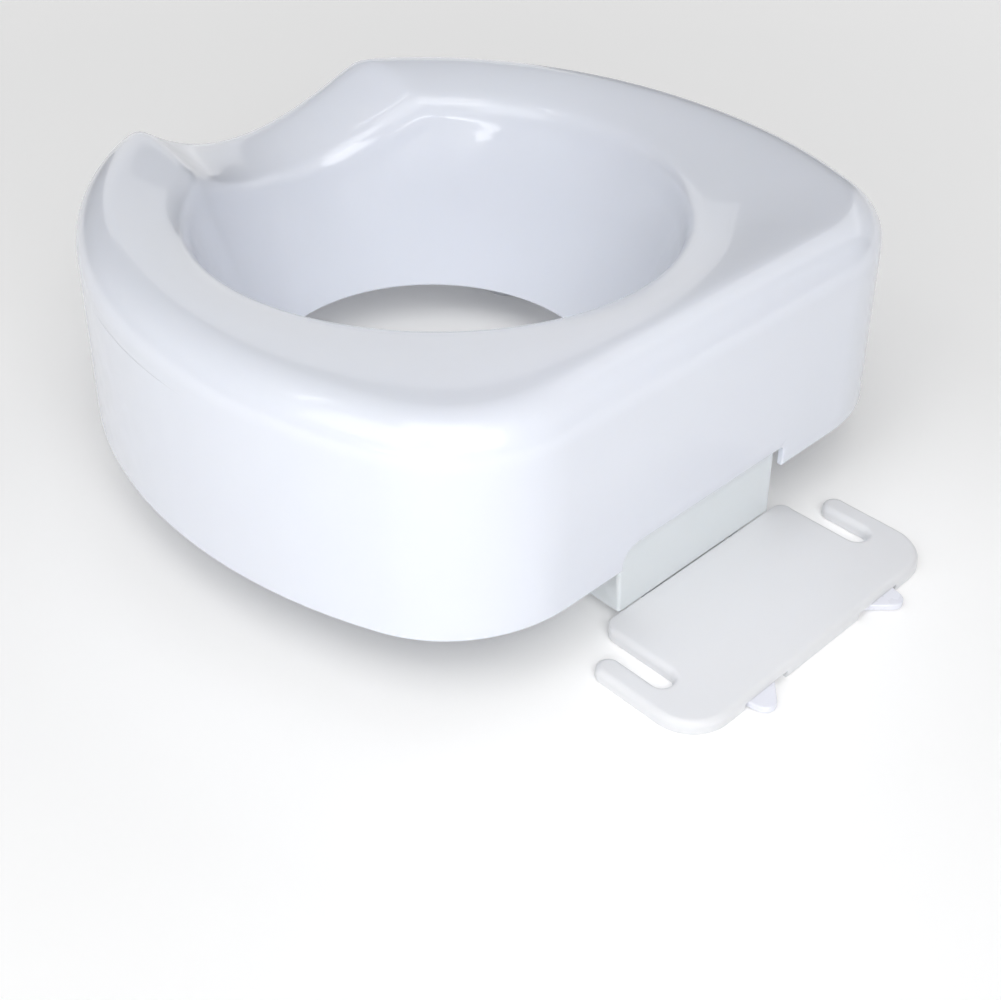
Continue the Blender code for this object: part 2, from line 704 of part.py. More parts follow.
def lever_hardware(side, parts, steel):
    """The washer and screw that hold a lever's hub on its post, inside the hub's recess."""
    name = side_name(side)
    place = (side * PIVOT.x, PIVOT.y)
    top = HUB_FACE_Z - SEAT
    low = top - WASHER_THICKNESS
    bore = SCREW_SHANK_RADIUS + SEAT
    rim = HUB_RECESS_RADIUS - 2 * GAP
    ring = [(bore, top), (rim, top), (rim, low), (bore, low)]
    finish(turned(f"lever_washer_{name}", parts, place, ring), steel)
    head_z = low - SEAT - LEVER_SCREW_HEAD_HEIGHT
    screw(f"lever_screw_{name}", place, head_z, LEVER_SCREW_HEAD_HEIGHT, LEVER_SCREW_LENGTH, parts, steel)


def latch_spring(side, parts, steel):
    """A coil on a peg, with one leg against the centre rib and one against the lever's tail."""
    roof = PLATE_THICKNESS - PLATE_SKIN
    pitch = 2.2 * WIRE_RADIUS
    low = roof - GAP - WIRE_RADIUS - pitch * (SPRING_TURNS + 1 / SPRING_STEPS)
    coil = []
    for i in range(SPRING_TURNS * SPRING_STEPS + 2):
        angle = 2 * math.pi * i / SPRING_STEPS - math.pi / 2
        coil.append(Vector((SPRING_PEG.x + SPRING_COIL_RADIUS * math.cos(angle),
                            SPRING_PEG.y + SPRING_COIL_RADIUS * math.sin(angle),
                            low + pitch * i / SPRING_STEPS)))
    clear = GAP + WIRE_RADIUS
    first = Vector((RIB / 2 + clear, coil[0].y, coil[0].z))
    heading = coil[-1] - coil[-2]
    heading.z = 0.0
    last = coil[-1] + heading * (TAB_INNER_X - clear - coil[-1].x) / heading.x
    points = [(side * x, y, z) for x, y, z in [first] + coil + [last]]
    return finish(wire_curve(f"latch_spring_{side_name(side)}", parts, points, WIRE_RADIUS), steel)


# ---------------------------------------------------------------- pads and screws


def rim_pad(name, place, parts, look):
    bore = SCREW_SHANK_RADIUS + GAP
    chamfer = 1.5 * MM
    recess_top = PAD_RECESS_DEPTH
    pad = turned(
        f"rim_pad_{name}", parts, place,
        [
            (bore, PAD_HEIGHT),
            (PAD_RADIUS - chamfer, PAD_HEIGHT),
            (PAD_RADIUS, PAD_HEIGHT - chamfer),
            (PAD_RADIUS, chamfer),
            (PAD_RADIUS - chamfer, 0.0),
            (PAD_RECESS_RADIUS, 0.0),
            (PAD_RECESS_RADIUS, recess_top),
            (bore, recess_top),
        ],
        20,
    )
    return finish(pad, look)


def screw(name, place, head_z, head_height, length, parts, steel):
    return finish(turned(name, parts, place, screw_profile(head_z, head_height, length), 12), steel)


def build():
    clear_scene()
    parts = new_collection("raised_toilet_seat")
    cutters = new_collection("cutters")
    steel = material("steel", STEEL_COLOUR, 0.35, 1.0)
    rubber = material("rubber", RUBBER_COLOUR, 0.8)
    lever_look = material("lever_plastic", LEVER_COLOUR, 0.3)
    seat_shell(parts, cutters, material("seat_plastic", SEAT_COLOUR, 0.2))
    lock_receiver(parts, cutters, material("receiver_plastic", RECEIVER_COLOUR, 0.3))
    lock_plate(parts, cutters, material("plate_plastic", PLATE_COLOUR, 0.35))
    for side in (1, -1):
        latch_lever(side, parts, cutters, lever_look)
        lever_hardware(side, parts, steel)
        latch_spring(side, parts, steel)
    for name, place in LEG_PLACES.items():
        rim_pad(name, place, parts, rubber)
        head_z = PAD_RECESS_DEPTH - SEAT - SCREW_HEAD_HEIGHT
        screw(f"rim_pad_screw_{name}", place, head_z, SCREW_HEAD_HEIGHT, PAD_SCREW_LENGTH, parts, steel)
    for name, place in flange_screw_places().items():
        head_z = RECEIVER_TOP_Z - RECEIVER_WALL - SEAT - SCREW_HEAD_HEIGHT
        screw(f"receiver_screw_{name}", place, head_z, SCREW_HEAD_HEIGHT, RECEIVER_SCREW_LENGTH,
              parts, steel)


build()
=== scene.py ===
"""Looks of the raised toilet seat with its lock-on bracket.

Every CAD node has a finer piece, its name ending in _detailed, in the same place and on the same body.
Frame: +Z up, +Y towards the bracket, +X towards the sitter's left, z = 0 where the pads and plate stand.
"""

import math

import bmesh
import bpy
from mathutils import Matrix, Vector


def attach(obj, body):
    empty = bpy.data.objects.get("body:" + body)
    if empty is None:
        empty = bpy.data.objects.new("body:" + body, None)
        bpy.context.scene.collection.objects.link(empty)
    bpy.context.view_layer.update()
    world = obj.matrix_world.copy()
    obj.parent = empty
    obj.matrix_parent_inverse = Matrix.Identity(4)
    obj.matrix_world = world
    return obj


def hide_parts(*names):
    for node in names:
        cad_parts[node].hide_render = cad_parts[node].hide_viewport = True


MM = 0.001
GAP = 0.3 * MM

# Seat moulding
SEAT_LENGTH = 393.5 * MM
SEAT_HALF_WIDTH = 187.5 * MM
SEAT_REAR_Y = 157.0 * MM
SEAT_TOP_Z = 146.0 * MM
SKIRT_BOTTOM_Z = 39.0 * MM
WALL = 3.6 * MM
WALL_END_RADIUS = 1.2 * MM
SIDE_DRAFT = 5.6 * MM
REAR_CORNER_RADIUS = 75.0 * MM
REAR_FLAT_HALF = 94.5 * MM
WIDEST_TO_REAR = 161.0 * MM
TOP_EDGE_RADIUS = 20.0 * MM
MOULD_LINE_Z = 121.5 * MM
MOULD_LINE_WIDTH = 0.9 * MM
MOULD_LINE_STEP = 0.3 * MM
MOULD_LINE_Y = (-85.0 * MM, 12.0 * MM)

# Oval opening and the bowl wall that hangs inside it
OPENING_CENTRE_Y = SEAT_REAR_Y - 191.0 * MM
OPENING_HALF = (131.0 * MM, 141.0 * MM)
OPENING_LIP = (12.0 * MM, 20.0 * MM)
LIP_FULLNESS = 0.42
DECK_FALL = 8.0 * MM
BOWL_BOTTOM_HALF = (90.0 * MM, 98.0 * MM)
BOWL_BOTTOM_Y = SEAT_REAR_Y - 199.0 * MM
BOWL_BOTTOM_Z = 29.0 * MM

# Dip between the two front corners of the deck
DIP_CENTRE_X = -4.4 * MM
DIP_DEPTH = 33.3 * MM
DIP_RADIUS = 84.5 * MM
DIP_SOFTNESS = 2.3 * MM

# Notch in the rear wall
NOTCH_SIDES = (59.5 * MM, -54.0 * MM)
NOTCH_TOP_Z = 50.5 * MM
NOTCH_RADII = (9.0 * MM, 3.0 * MM)
NOTCH_EDGE_RADIUS = 0.8 * MM

# Receiver
WEB_Y = 151.0 * MM
RECEIVER_HALF_WIDTH = 55.0 * MM
RECEIVER_DEPTH = 50.0 * MM
RECEIVER_WALL = 3.0 * MM
RECEIVER_TOP_Z = 66.0 * MM
RECEIVER_RIB_TOP_Z = 30.0 * MM
RECEIVER_CORNER_RADIUS = 1.5 * MM
FLANGE_WIDTH = 15.0 * MM
RAIL_INNER_X = 22.5 * MM
RAIL_OUTER_X = 27.0 * MM
RAIL_LIP_X = 17.5 * MM
RAIL_LIP_TOP_Z = 2.6 * MM
RAIL_SETBACK = 4.0 * MM
FLANGE_SETBACK = 3.0 * MM
FLANGE_SCREW_INSET = 12.0 * MM
BOSS_RADIUS = 5.5 * MM

# Bracket plate
PLATE_THICKNESS = 7.5 * MM
PLATE_SKIN = 2.8 * MM
PLATE_RIM = 3.0 * MM
PLATE_TOP_RADIUS = 3.2 * MM
PLATE_BOTTOM_RADIUS = 1.6 * MM
PLATE_FRONT_Y = WEB_Y + GAP
PLATE_REAR_Y = WEB_Y + 76.5 * MM
BODY_HALF_WIDTH = 66.2 * MM
BODY_CORNER_RADIUS = 7.0 * MM
SLOT_WIDTH = 10.9 * MM
SLOT_END_Y = WEB_Y + 47.0 * MM
ARM_WIDTH = 12.3 * MM
ARM_TIP_Y = WEB_Y + 14.5 * MM
REAR_RADIUS = 22.0 * MM
TONGUE_HALF_WIDTH = RAIL_INNER_X - GAP
TONGUE_LENGTH = 48.0 * MM
TONGUE_BOTTOM_Z = RAIL_LIP_TOP_Z + GAP

# Latch levers
PIVOT = Vector((44.0 * MM, WEB_Y + 45.0 * MM, 0.0))
LEVER_BOTTOM_Z = 0.9 * MM
LEVER_TOP_Z = PLATE_THICKNESS - PLATE_SKIN - GAP
LEVER_EDGE_RADIUS = 0.7 * MM
HUB_FACE_Z = 2.8 * MM
HUB_RECESS_RADIUS = 6.2 * MM
HUB_RADIUS = 8.5 * MM
ARM_HALF = 4.0 * MM
JAW_X = RAIL_OUTER_X + GAP
JAW_FRONT_Y = WEB_Y - 20.0 * MM
JAW_LENGTH = 9.0 * MM
TAB_INNER_X = 33.5 * MM
TAB_OUTER_X = 54.0 * MM
TAB_TIP = (47.4 * MM, WEB_Y + 80.0 * MM)
TAB_TIP_RADIUS = 5.5 * MM
TAIL_LENGTH = 9.0 * MM
TAB_WINDOW_SIDES = (7.0 * MM, 2.0 * MM)
TAB_WINDOW_DEPTH = 6.0 * MM
JAW_RELIEF = 3.0 * MM
JAW_TIP_WIDTH = 5.0 * MM
POST_RADIUS = 3.6 * MM

# Springs and screws
WIRE_RADIUS = 0.45 * MM
SPRING_COIL_RADIUS = 3.2 * MM
SPRING_PEG = Vector((21.0 * MM, WEB_Y + 66.0 * MM, 0.0))
SPRING_TURNS = 3
SPRING_STEPS = 36
SCREW_HEAD_RADIUS = 3.8 * MM
SCREW_HEAD_HEIGHT = 2.4 * MM
SCREW_SHANK_RADIUS = 1.5 * MM
WASHER_THICKNESS = 0.4 * MM
LEVER_SCREW_HEAD_HEIGHT = 1.2 * MM
SEAT = 0.1 * MM
LEVER_SCREW_LENGTH = 4.0 * MM
PAD_SCREW_LENGTH = 14.0 * MM
RECEIVER_SCREW_LENGTH = 13.0 * MM

# Legs and pads
LEG_PLACES = {
    "front_left": (128.0 * MM, -118.0 * MM),
    "front_right": (-128.0 * MM, -118.0 * MM),
    "rear_left": (115.0 * MM, 59.0 * MM),
    "rear_right": (-115.0 * MM, 59.0 * MM),
}
LEG_CORE_TOP_Z = 66.0 * MM
LEG_CORE_RADIUS = 5.0 * MM
LEG_REACH = 10.0 * MM
RIB_REACH = 90.0 * MM
PAD_RADIUS = 14.0 * MM
PAD_HEIGHT = 11.0 * MM
PAD_RECESS_RADIUS = 5.5 * MM
PAD_RECESS_DEPTH = 6.0 * MM
RIB = 3.0 * MM
RIB_BOTTOM_Z = 76.0 * MM

# Camera: behind the object, to its left and above
CAMERA_PLACE = Vector((0.4253, 0.4799, 0.4589))
CAMERA_AZIMUTH = 137.77
CAMERA_ELEVATION = 36.75
CAMERA_ROLL = -1.40
CAMERA_LENS = 51.49
CAMERA_SHIFT_Y = -0.0288

# Light
LIGHT_TARGET = Vector((0.0, 0.0, 0.08))
WORLD_STRENGTH = 0.10
SPOT_PLACE = Vector((0.60, 0.80, 0.80))
FLOOR_GLOW = (0.10, 0.32)
FLOOR_GLOW_REACH = (0.30, 1.2)


# ---------------------------------------------------------------- mesh helpers


def arc(centre, radius, start, end, steps):
    """Points of an arc; the angles are in degrees."""
    angles = [math.radians(start + (end - start) * i / steps) for i in range(steps + 1)]
    return [(centre[0] + radius * math.cos(a), centre[1] + radius * math.sin(a)) for a in angles]


def mirrored(points):
    return [(-x, y) for x, y in reversed(points)]


def side_name(side):
    return "left" if side > 0 else "right"


def object_from_bmesh(bm, name):
    mesh = bpy.data.meshes.new(name)
    bmesh.ops.recalc_face_normals(bm, faces=bm.faces)
    bm.to_mesh(mesh)
    bm.free()
    made = bpy.data.objects.new(name, mesh)
    bpy.context.scene.collection.objects.link(made)
    return made


def ring_loft(name, rings, closed=False):
    """Joins rings of points with quads. Open ends are capped, and a closed loft has none."""
    bm = bmesh.new()
    grid = [[bm.verts.new(point) for point in ring] for ring in rings]
    pairs = list(zip(grid, grid[1:]))
    if closed:
        pairs.append((grid[-1], grid[0]))
    count = len(grid[0])
    for left, right in pairs:
        for i in range(count):
            j = (i + 1) % count
            bm.faces.new((left[i], right[i], right[j], left[j]))
    if not closed:
        bm.faces.new(grid[0])
        bm.faces.new(grid[-1])
    return object_from_bmesh(bm, name)


def mitred_normals(points):
    """Outward offset directions of a counter-clockwise outline, lengthened at its corners."""
    count = len(points)
    flat = [Vector(point) for point in points]
    edges = [(flat[(i + 1) % count] - flat[i]).normalized() for i in range(count)]
    sides = [Vector((edge.y, -edge.x)) for edge in edges]
    made = []
    for i in range(count):
        before, after = sides[i - 1], sides[i]
        made.append((before + after) / (1.0 + max(-0.4, before.dot(after))))
    return made


def without_repeats(points, nearest=0.01 * MM):
    kept = [points[0]]
    for point in points[1:]:
        if (Vector(point) - Vector(kept[-1])).length > nearest:
            kept.append(point)
    if (Vector(kept[0]) - Vector(kept[-1])).length <= nearest:
        kept.pop()
    return kept


def rounded_slab(name, points, low, high, low_radius=0.0, high_radius=0.0, steps=5, share=None):
    """A flat outline made solid from low to high, with rounded rims.

    share, if it is given, is a function of a point that says how much of the upper rim's radius it has.
    """
    outline = without_repeats(points)
    normals = mitred_normals(outline)
    profile = []
    if low_radius:
        for i in range(steps + 1):
            turn = math.pi / 2 * i / steps
            profile.append((low_radius * (1 - math.sin(turn)), low + low_radius * (1 - math.cos(turn))))
    else:
        profile.append((0.0, low))
    if high_radius:
        for i in range(steps + 1):
            turn = math.pi / 2 * i / steps
            profile.append((high_radius * (1 - math.cos(turn)), high - high_radius * (1 - math.sin(turn))))
    else:
        profile.append((0.0, high))
    shares = [share(point) if share else 1.0 for point in outline]
    rings = []
    for inset, z in profile:
        ring = []
        for (x, y), n, part in zip(outline, normals, shares):
            upper = z > (low + high) / 2
            reach = inset * part if upper else inset
            level = high - (high - z) * part if upper else z
            ring.append((x - reach * n.x, y - reach * n.y, level))
        rings.append(ring)
    return ring_loft(name, rings)


def box(name, low, high, radius=0.0):
    """A box with its edges rounded."""
    bm = bmesh.new()
    bmesh.ops.create_cube(bm, size=1.0)
    bmesh.ops.scale(bm, vec=[b - a for a, b in zip(low, high)], verts=bm.verts)
    bmesh.ops.translate(bm, vec=[(a + b) / 2 for a, b in zip(low, high)], verts=bm.verts)
    if radius:
        bmesh.ops.bevel(bm, geom=bm.edges[:], offset=radius, segments=3, profile=0.5, affect="EDGES")
    return object_from_bmesh(bm, name)


def span_box(name, side, low, high, radius=0.0):
    """A box given on the +X side, put on either side of the middle plane."""
    ends = sorted((side * low[0], side * high[0]))
    return box(name, (ends[0], low[1], low[2]), (ends[1], high[1], high[2]), radius)


def turned(name, place, profile, sides=64):
    """A solid of revolution: (radius, z) points, from the axis to the axis or round a closed section."""
    on_axis = profile[0][0] == 0.0
    bm = bmesh.new()
    rings = []
    for radius, z in profile:
        if radius == 0.0:
            rings.append([bm.verts.new((place[0], place[1], z))])
            continue
        angles = [2 * math.pi * i / sides for i in range(sides)]
        rings.append([
            bm.verts.new((place[0] + radius * math.cos(a), place[1] + radius * math.sin(a), z))
            for a in angles
        ])
    pairs = list(zip(rings, rings[1:]))
    if not on_axis:
        pairs.append((rings[-1], rings[0]))
    for first, second in pairs:
        for i in range(sides):
            j = (i + 1) % sides
            corners = [first[i % len(first)], first[j % len(first)]]
            corners += [second[j % len(second)], second[i % len(second)]]
            bm.faces.new(list(dict.fromkeys(corners)))
    return object_from_bmesh(bm, name)


def cylinder(name, place, radius, low_z, high_z, sides=48, chamfer=0.0):
    profile = [(0.0, high_z), (radius - chamfer, high_z)]
    if chamfer:
        profile += [(radius, high_z - chamfer), (radius, low_z + chamfer)]
    profile += [(radius - chamfer, low_z), (0.0, low_z)]
    return turned(name, place, profile, sides)


def rounded_corner(corner, before, after, radius, steps=4):
    """Points that round the corner of a (radius, z) profile between its two neighbours."""
    corner = Vector(corner)
    to_before = (Vector(before) - corner).normalized()
    to_after = (Vector(after) - corner).normalized()
    half = to_before.angle(to_after) / 2
    reach = radius / math.tan(half)
    start, end = corner + reach * to_before, corner + reach * to_after
    centre = corner + (to_before + to_after).normalized() * radius / math.sin(half)
    points = []
    for i in range(steps + 1):
        blended = start.lerp(end, i / steps) - centre
        points.append(tuple(centre + blended.normalized() * radius))
    return points


def rounded_profile(profile, radii):
    """A profile with chosen corners rounded: radii maps the number of a corner to its radius."""
    made = []
    count = len(profile)
    for i, point in enumerate(profile):
        if i in radii:
            made += rounded_corner(point, profile[i - 1], profile[(i + 1) % count], radii[i])
        else:
            made.append(point)
    return made


def combine(target, others, operation):
    """Applies one EXACT Boolean per object in others, and drops those objects."""
    for other in others:
        step = target.modifiers.new(operation, "BOOLEAN")
        step.operation = operation
        step.solver = "EXACT"
        step.object = other
    graph = bpy.context.evaluated_depsgraph_get()
    mesh = bpy.data.meshes.new_from_object(target.evaluated_get(graph))
    target.modifiers.clear()
    target.data = mesh
    for other in others:
        bpy.data.objects.remove(other, do_unlink=True)
    return target


def join(target, others):
    """Adds the meshes of others to the target's, as they are."""
    bm = bmesh.new()
    bm.from_mesh(target.data)
    for other in others:
        bm.from_mesh(other.data)
        bpy.data.objects.remove(other, do_unlink=True)
    bm.to_mesh(target.data)
    bm.free()
    return target


def piece(made, node, body, look, smooth_angle=35.0):
    """Finishes the piece that stands for a CAD node: its shading, material and place in the frame."""
    made.name = f"{node}_detailed"
    made.data.materials.clear()
    made.data.materials.append(look)
    if made.type == "MESH":
        made.data.shade_smooth()
        made.data.set_sharp_from_angle(angle=math.radians(smooth_angle))
        weighted = made.modifiers.new("Even shading", "WEIGHTED_NORMAL")
        weighted.keep_sharp = True
    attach(made, body)
    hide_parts(node)
    return made


# ---------------------------------------------------------------- materials


def socket_noise(tree, coords, scale, detail, roughness=0.5):
    noise = tree.nodes.new("ShaderNodeTexNoise")
    noise.inputs["Scale"].default_value = scale
    noise.inputs["Detail"].default_value = detail
    noise.inputs["Roughness"].default_value = roughness
    tree.links.new(coords, noise.inputs["Vector"])
    return noise.outputs["Fac"]


def spread(tree, value, low, high, from_low=0.0, from_high=1.0):
    """Maps a value from one range onto another, held at its ends."""
    node = tree.nodes.new("ShaderNodeMapRange")
    node.inputs["From Min"].default_value = from_low
    node.inputs["From Max"].default_value = from_high
    node.inputs["To Min"].default_value = low
    node.inputs["To Max"].default_value = high
    tree.links.new(value, node.inputs["Value"])
    return node.outputs["Result"]


def mixed(tree, factor, first, second):
    """Mixes two colours, each given as a socket or a tuple."""
    node = tree.nodes.new("ShaderNodeMix")
    node.data_type = "RGBA"
    tree.links.new(factor, node.inputs["Factor"])
    for name, value in (("A", first), ("B", second)):
        socket = [s for s in node.inputs if s.name == name and s.type == "RGBA"][0]
        if isinstance(value, tuple):
            socket.default_value = (*value, 1.0)
        else:
            tree.links.new(value, socket)
    return [s for s in node.outputs if s.type == "RGBA"][0]


def bumped(tree, height, distance, normal=None):
    """A bump on top of the normal given; distance is the bump's height."""
    node = tree.nodes.new("ShaderNodeBump")
    node.inputs["Distance"].default_value = distance
    tree.links.new(height, node.inputs["Height"])
    if normal is not None:
        tree.links.new(normal, node.inputs["Normal"])
    return node.outputs["Normal"]


def new_look(name):
    made = bpy.data.materials.new(name)
    made.use_nodes = True
    tree = made.node_tree
    coords = tree.nodes.new("ShaderNodeTexCoord").outputs["Object"]
    return made, tree, tree.nodes["Principled BSDF"], coords


def times(tree, first, second):
    """The product of two values."""
    node = tree.nodes.new("ShaderNodeMath")
    node.operation = "MULTIPLY"
    tree.links.new(first, node.inputs[0])
    tree.links.new(second, node.inputs[1])
    return node.outputs[0]


def mould_line(tree, coords):
    """Height of the faint parting line that runs level along the left side of the skirt and fades out."""
    parts = tree.nodes.new("ShaderNodeSeparateXYZ")
    tree.links.new(coords, parts.inputs[0])
    x, y, z = parts.outputs
    half = MOULD_LINE_WIDTH / 2
    above = spread(tree, z, 1.0, 0.0, MOULD_LINE_Z, MOULD_LINE_Z + half)
    below = spread(tree, z, 0.0, 1.0, MOULD_LINE_Z - half, MOULD_LINE_Z)
    start, end = MOULD_LINE_Y
    fade_in = spread(tree, y, 0.0, 1.0, start, start + 10.0 * MM)
    fade_out = spread(tree, y, 1.0, 0.0, end - 40.0 * MM, end)
    left = spread(tree, x, 0.0, 1.0, 0.0, 10.0 * MM)
    line = times(tree, above, below)
    return times(tree, times(tree, line, left), times(tree, fade_in, fade_out))


def moulded_plastic(name, colour, tint, convex_edge_colour, roughness, coat, grain, lined=False):
    """Moulded plastic: faint flow marks, fine orange peel, and sharply convex edges made a little paler."""
    made, tree, shader, coords = new_look(name)
    flow = socket_noise(tree, coords, 9.0, 3.0)
    fine = socket_noise(tree, coords, 60.0, 4.0)
    peel = socket_noise(tree, coords, 700.0, 2.0)
    base = mixed(tree, spread(tree, flow, 0.0, 1.0, 0.3, 0.7), colour, tint)
    # Sharply convex edges, found by pointiness, are mixed a little towards a paler colour.
    edge = tree.nodes.new("ShaderNodeNewGeometry").outputs["Pointiness"]
    convex_edge_share = spread(tree, edge, 0.0, 0.35, 0.53, 0.62)
    base = mixed(tree, convex_edge_share, base, convex_edge_colour)
    tree.links.new(base, shader.inputs["Base Color"])
    uneven = spread(tree, fine, roughness * 0.85, roughness * 1.2, 0.3, 0.7)
    tree.links.new(uneven, shader.inputs["Roughness"])
    relief = bumped(tree, peel, grain)
    if lined:
        relief = bumped(tree, mould_line(tree, coords), MOULD_LINE_STEP, relief)
    tree.links.new(relief, shader.inputs["Normal"])
    shader.inputs["IOR"].default_value = 1.5
    shader.inputs["Coat Weight"].default_value = coat
    shader.inputs["Coat Roughness"].default_value = 0.03
    shader.inputs["Subsurface Weight"].default_value = 0.12
    shader.inputs["Subsurface Radius"].default_value = (1.0, 0.9, 0.8)
    shader.inputs["Subsurface Scale"].default_value = 3.0 * MM
    return made


def turned_steel(name, colour, roughness):
    """Plated steel with fine turning marks and small stains."""
    made, tree, shader, coords = new_look(name)
    stain = socket_noise(tree, coords, 300.0, 4.0)
    fine = socket_noise(tree, coords, 3000.0, 2.0)
    dull = tuple(0.72 * c for c in colour)
    stained = mixed(tree, spread(tree, stain, 0.0, 1.0, 0.35, 0.75), colour, dull)
    tree.links.new(stained, shader.inputs["Base Color"])
    tree.links.new(spread(tree, stain, roughness * 0.7, roughness * 1.4), shader.inputs["Roughness"])
    tree.links.new(bumped(tree, fine, 0.01 * MM), shader.inputs["Normal"])
    shader.inputs["Metallic"].default_value = 1.0
    return made


def soft_rubber(name, colour, roughness):
    """Matt grey rubber with a fine grain and a dusting of paler wear."""
    made, tree, shader, coords = new_look(name)
    dust = socket_noise(tree, coords, 120.0, 6.0, 0.65)
    grain = socket_noise(tree, coords, 1800.0, 3.0)
    pale = tuple(min(1.0, c * 1.25) for c in colour)
    dusty = mixed(tree, spread(tree, dust, 0.0, 1.0, 0.45, 0.8), colour, pale)
    tree.links.new(dusty, shader.inputs["Base Color"])
    tree.links.new(spread(tree, dust, roughness, min(1.0, roughness * 1.2)), shader.inputs["Roughness"])
    tree.links.new(bumped(tree, grain, 0.05 * MM), shader.inputs["Normal"])
    return made


def floor_look(name, colour):
    """Pale matt floor that glows a little more away from the seat, like a lit studio sweep."""
    made, tree, shader, coords = new_look(name)
    wash = socket_noise(tree, coords, 1.2, 2.0)
    other = tuple(c * 0.99 for c in colour)
    tree.links.new(mixed(tree, wash, colour, other), shader.inputs["Base Color"])
    shader.inputs["Roughness"].default_value = 0.9
    shader.inputs["Specular IOR Level"].default_value = 0.1
    shader.inputs["Emission Color"].default_value = (1.0, 1.0, 1.0, 1.0)
    away = tree.nodes.new("ShaderNodeVectorMath")
    away.operation = "LENGTH"
    tree.links.new(coords, away.inputs[0])
    glow = spread(tree, away.outputs["Value"], *FLOOR_GLOW, *FLOOR_GLOW_REACH)
    tree.links.new(glow, shader.inputs["Emission Strength"])
    return made


# ---------------------------------------------------------------- seat moulding


def plan_outline(front_steps=56, corner_steps=20, side_steps=10, rear_steps=10):
    """Bottom outline of the skirt as (point, outward normal), from the rear centre round by +X."""
    run = SEAT_HALF_WIDTH - REAR_FLAT_HALF
    reach = WIDEST_TO_REAR - REAR_CORNER_RADIUS
    side_radius = (run**2 + reach**2 - REAR_CORNER_RADIUS**2) / (2 * (run - REAR_CORNER_RADIUS))
    widest_y = SEAT_REAR_Y - WIDEST_TO_REAR
    corner = Vector((REAR_FLAT_HALF, SEAT_REAR_Y - REAR_CORNER_RADIUS))
    side = Vector((SEAT_HALF_WIDTH - side_radius, widest_y))
    joint_angle = math.atan2(corner.y - side.y, corner.x - side.x)
    front_reach = SEAT_LENGTH - WIDEST_TO_REAR
    half = []
    for i in range(rear_steps):
        half.append((Vector((REAR_FLAT_HALF * i / rear_steps, SEAT_REAR_Y)), Vector((0.0, 1.0))))
    for i in range(corner_steps):
        angle = math.pi / 2 + (joint_angle - math.pi / 2) * i / corner_steps
        normal = Vector((math.cos(angle), math.sin(angle)))
        half.append((corner + REAR_CORNER_RADIUS * normal, normal))
    for i in range(side_steps):
        angle = joint_angle * (1 - i / side_steps)
        normal = Vector((math.cos(angle), math.sin(angle)))
        half.append((side + side_radius * normal, normal))
    for i in range(front_steps + 1):
        angle = math.pi / 2 * i / front_steps
        point = Vector((SEAT_HALF_WIDTH * math.cos(angle), widest_y - front_reach * math.sin(angle)))
        normal = Vector((math.cos(angle) / SEAT_HALF_WIDTH, -math.sin(angle) / front_reach)).normalized()
        half.append((point, normal))
    other = [(Vector((-p.x, p.y)), Vector((-n.x, n.y))) for p, n in half[1:-1]]
    return half + other[::-1]


def dip(x, y):
    """How far the deck is lowered by the front dip."""
    if y > SEAT_REAR_Y - WIDEST_TO_REAR:
        return 0.0
    trough = (x - DIP_CENTRE_X) ** 2 / (2 * DIP_RADIUS) - DIP_DEPTH
    return (math.hypot(trough, DIP_SOFTNESS) - trough) / 2


def oval(half, centre_y, angle):
    return Vector((half[0] * math.cos(angle), centre_y + half[1] * math.sin(angle)))


def soft_bend(start, leaving, end, arriving, steps):
    """Points of a smooth bend that leaves start and arrives at end along the given directions."""
    reach = LIP_FULLNESS * (end - start).length
    first = start + reach * leaving
    second = end - reach * arriving
    points = []
    for i in range(steps + 1):
        t = i / steps
        u = 1 - t
        points.append(u**3 * start + 3 * u * u * t * first + 3 * u * t * t * second + t**3 * end)
    return points


def section(point, normal, wall_steps=16, edge_steps=12, deck_steps=14, lip_steps=10, bowl_steps=10):
    """One radial section of the seat's outer surface, from the skirt's bottom to the bowl wall's."""
    draft = SIDE_DRAFT * min(1.0, max(0.0, 1.0 - normal.y))
    spring_z = SEAT_TOP_Z - TOP_EDGE_RADIUS
    rows = []

    def add(flat, z, share=1.0):
        rows.append(Vector((flat.x, flat.y, z - share * dip(flat.x, flat.y))))

    for i in range(wall_steps):
        share = i / wall_steps
        z = SKIRT_BOTTOM_Z + share * (spring_z - SKIRT_BOTTOM_Z)
        add(point - share * draft * normal, z, share)
    for i in range(edge_steps):
        angle = math.pi / 2 * i / edge_steps
        inset = draft + TOP_EDGE_RADIUS * (1 - math.cos(angle))
        add(point - inset * normal, spring_z + TOP_EDGE_RADIUS * math.sin(angle))
    crown = point - (draft + TOP_EDGE_RADIUS) * normal
    angle = math.atan2((crown.y - OPENING_CENTRE_Y) / OPENING_HALF[1], crown.x / OPENING_HALF[0])
    rim = oval(OPENING_HALF, OPENING_CENTRE_Y, angle)
    for i in range(deck_steps):
        share = i / deck_steps
        add(crown.lerp(rim, share), SEAT_TOP_Z - DECK_FALL * share**1.5)
    start = Vector((rim.x, rim.y, SEAT_TOP_Z - DECK_FALL))
    half = [size - OPENING_LIP[0] for size in OPENING_HALF]
    end = oval(half, OPENING_CENTRE_Y, angle).to_3d()
    end.z = start.z - OPENING_LIP[1]
    foot = oval(BOWL_BOTTOM_HALF, BOWL_BOTTOM_Y, angle).to_3d()
    foot.z = BOWL_BOTTOM_Z
    inward = (rim - crown).to_3d()
    inward.z = -1.5 * DECK_FALL
    down = foot - end
    down.z += dip(end.x, end.y)
    for place in soft_bend(start, inward.normalized(), end, down.normalized(), lip_steps):
        add(place.xy, place.z)
    top = rows[-1]
    rows += [top.lerp(foot, (i + 1) / bowl_steps) for i in range(bowl_steps)]
    return rows


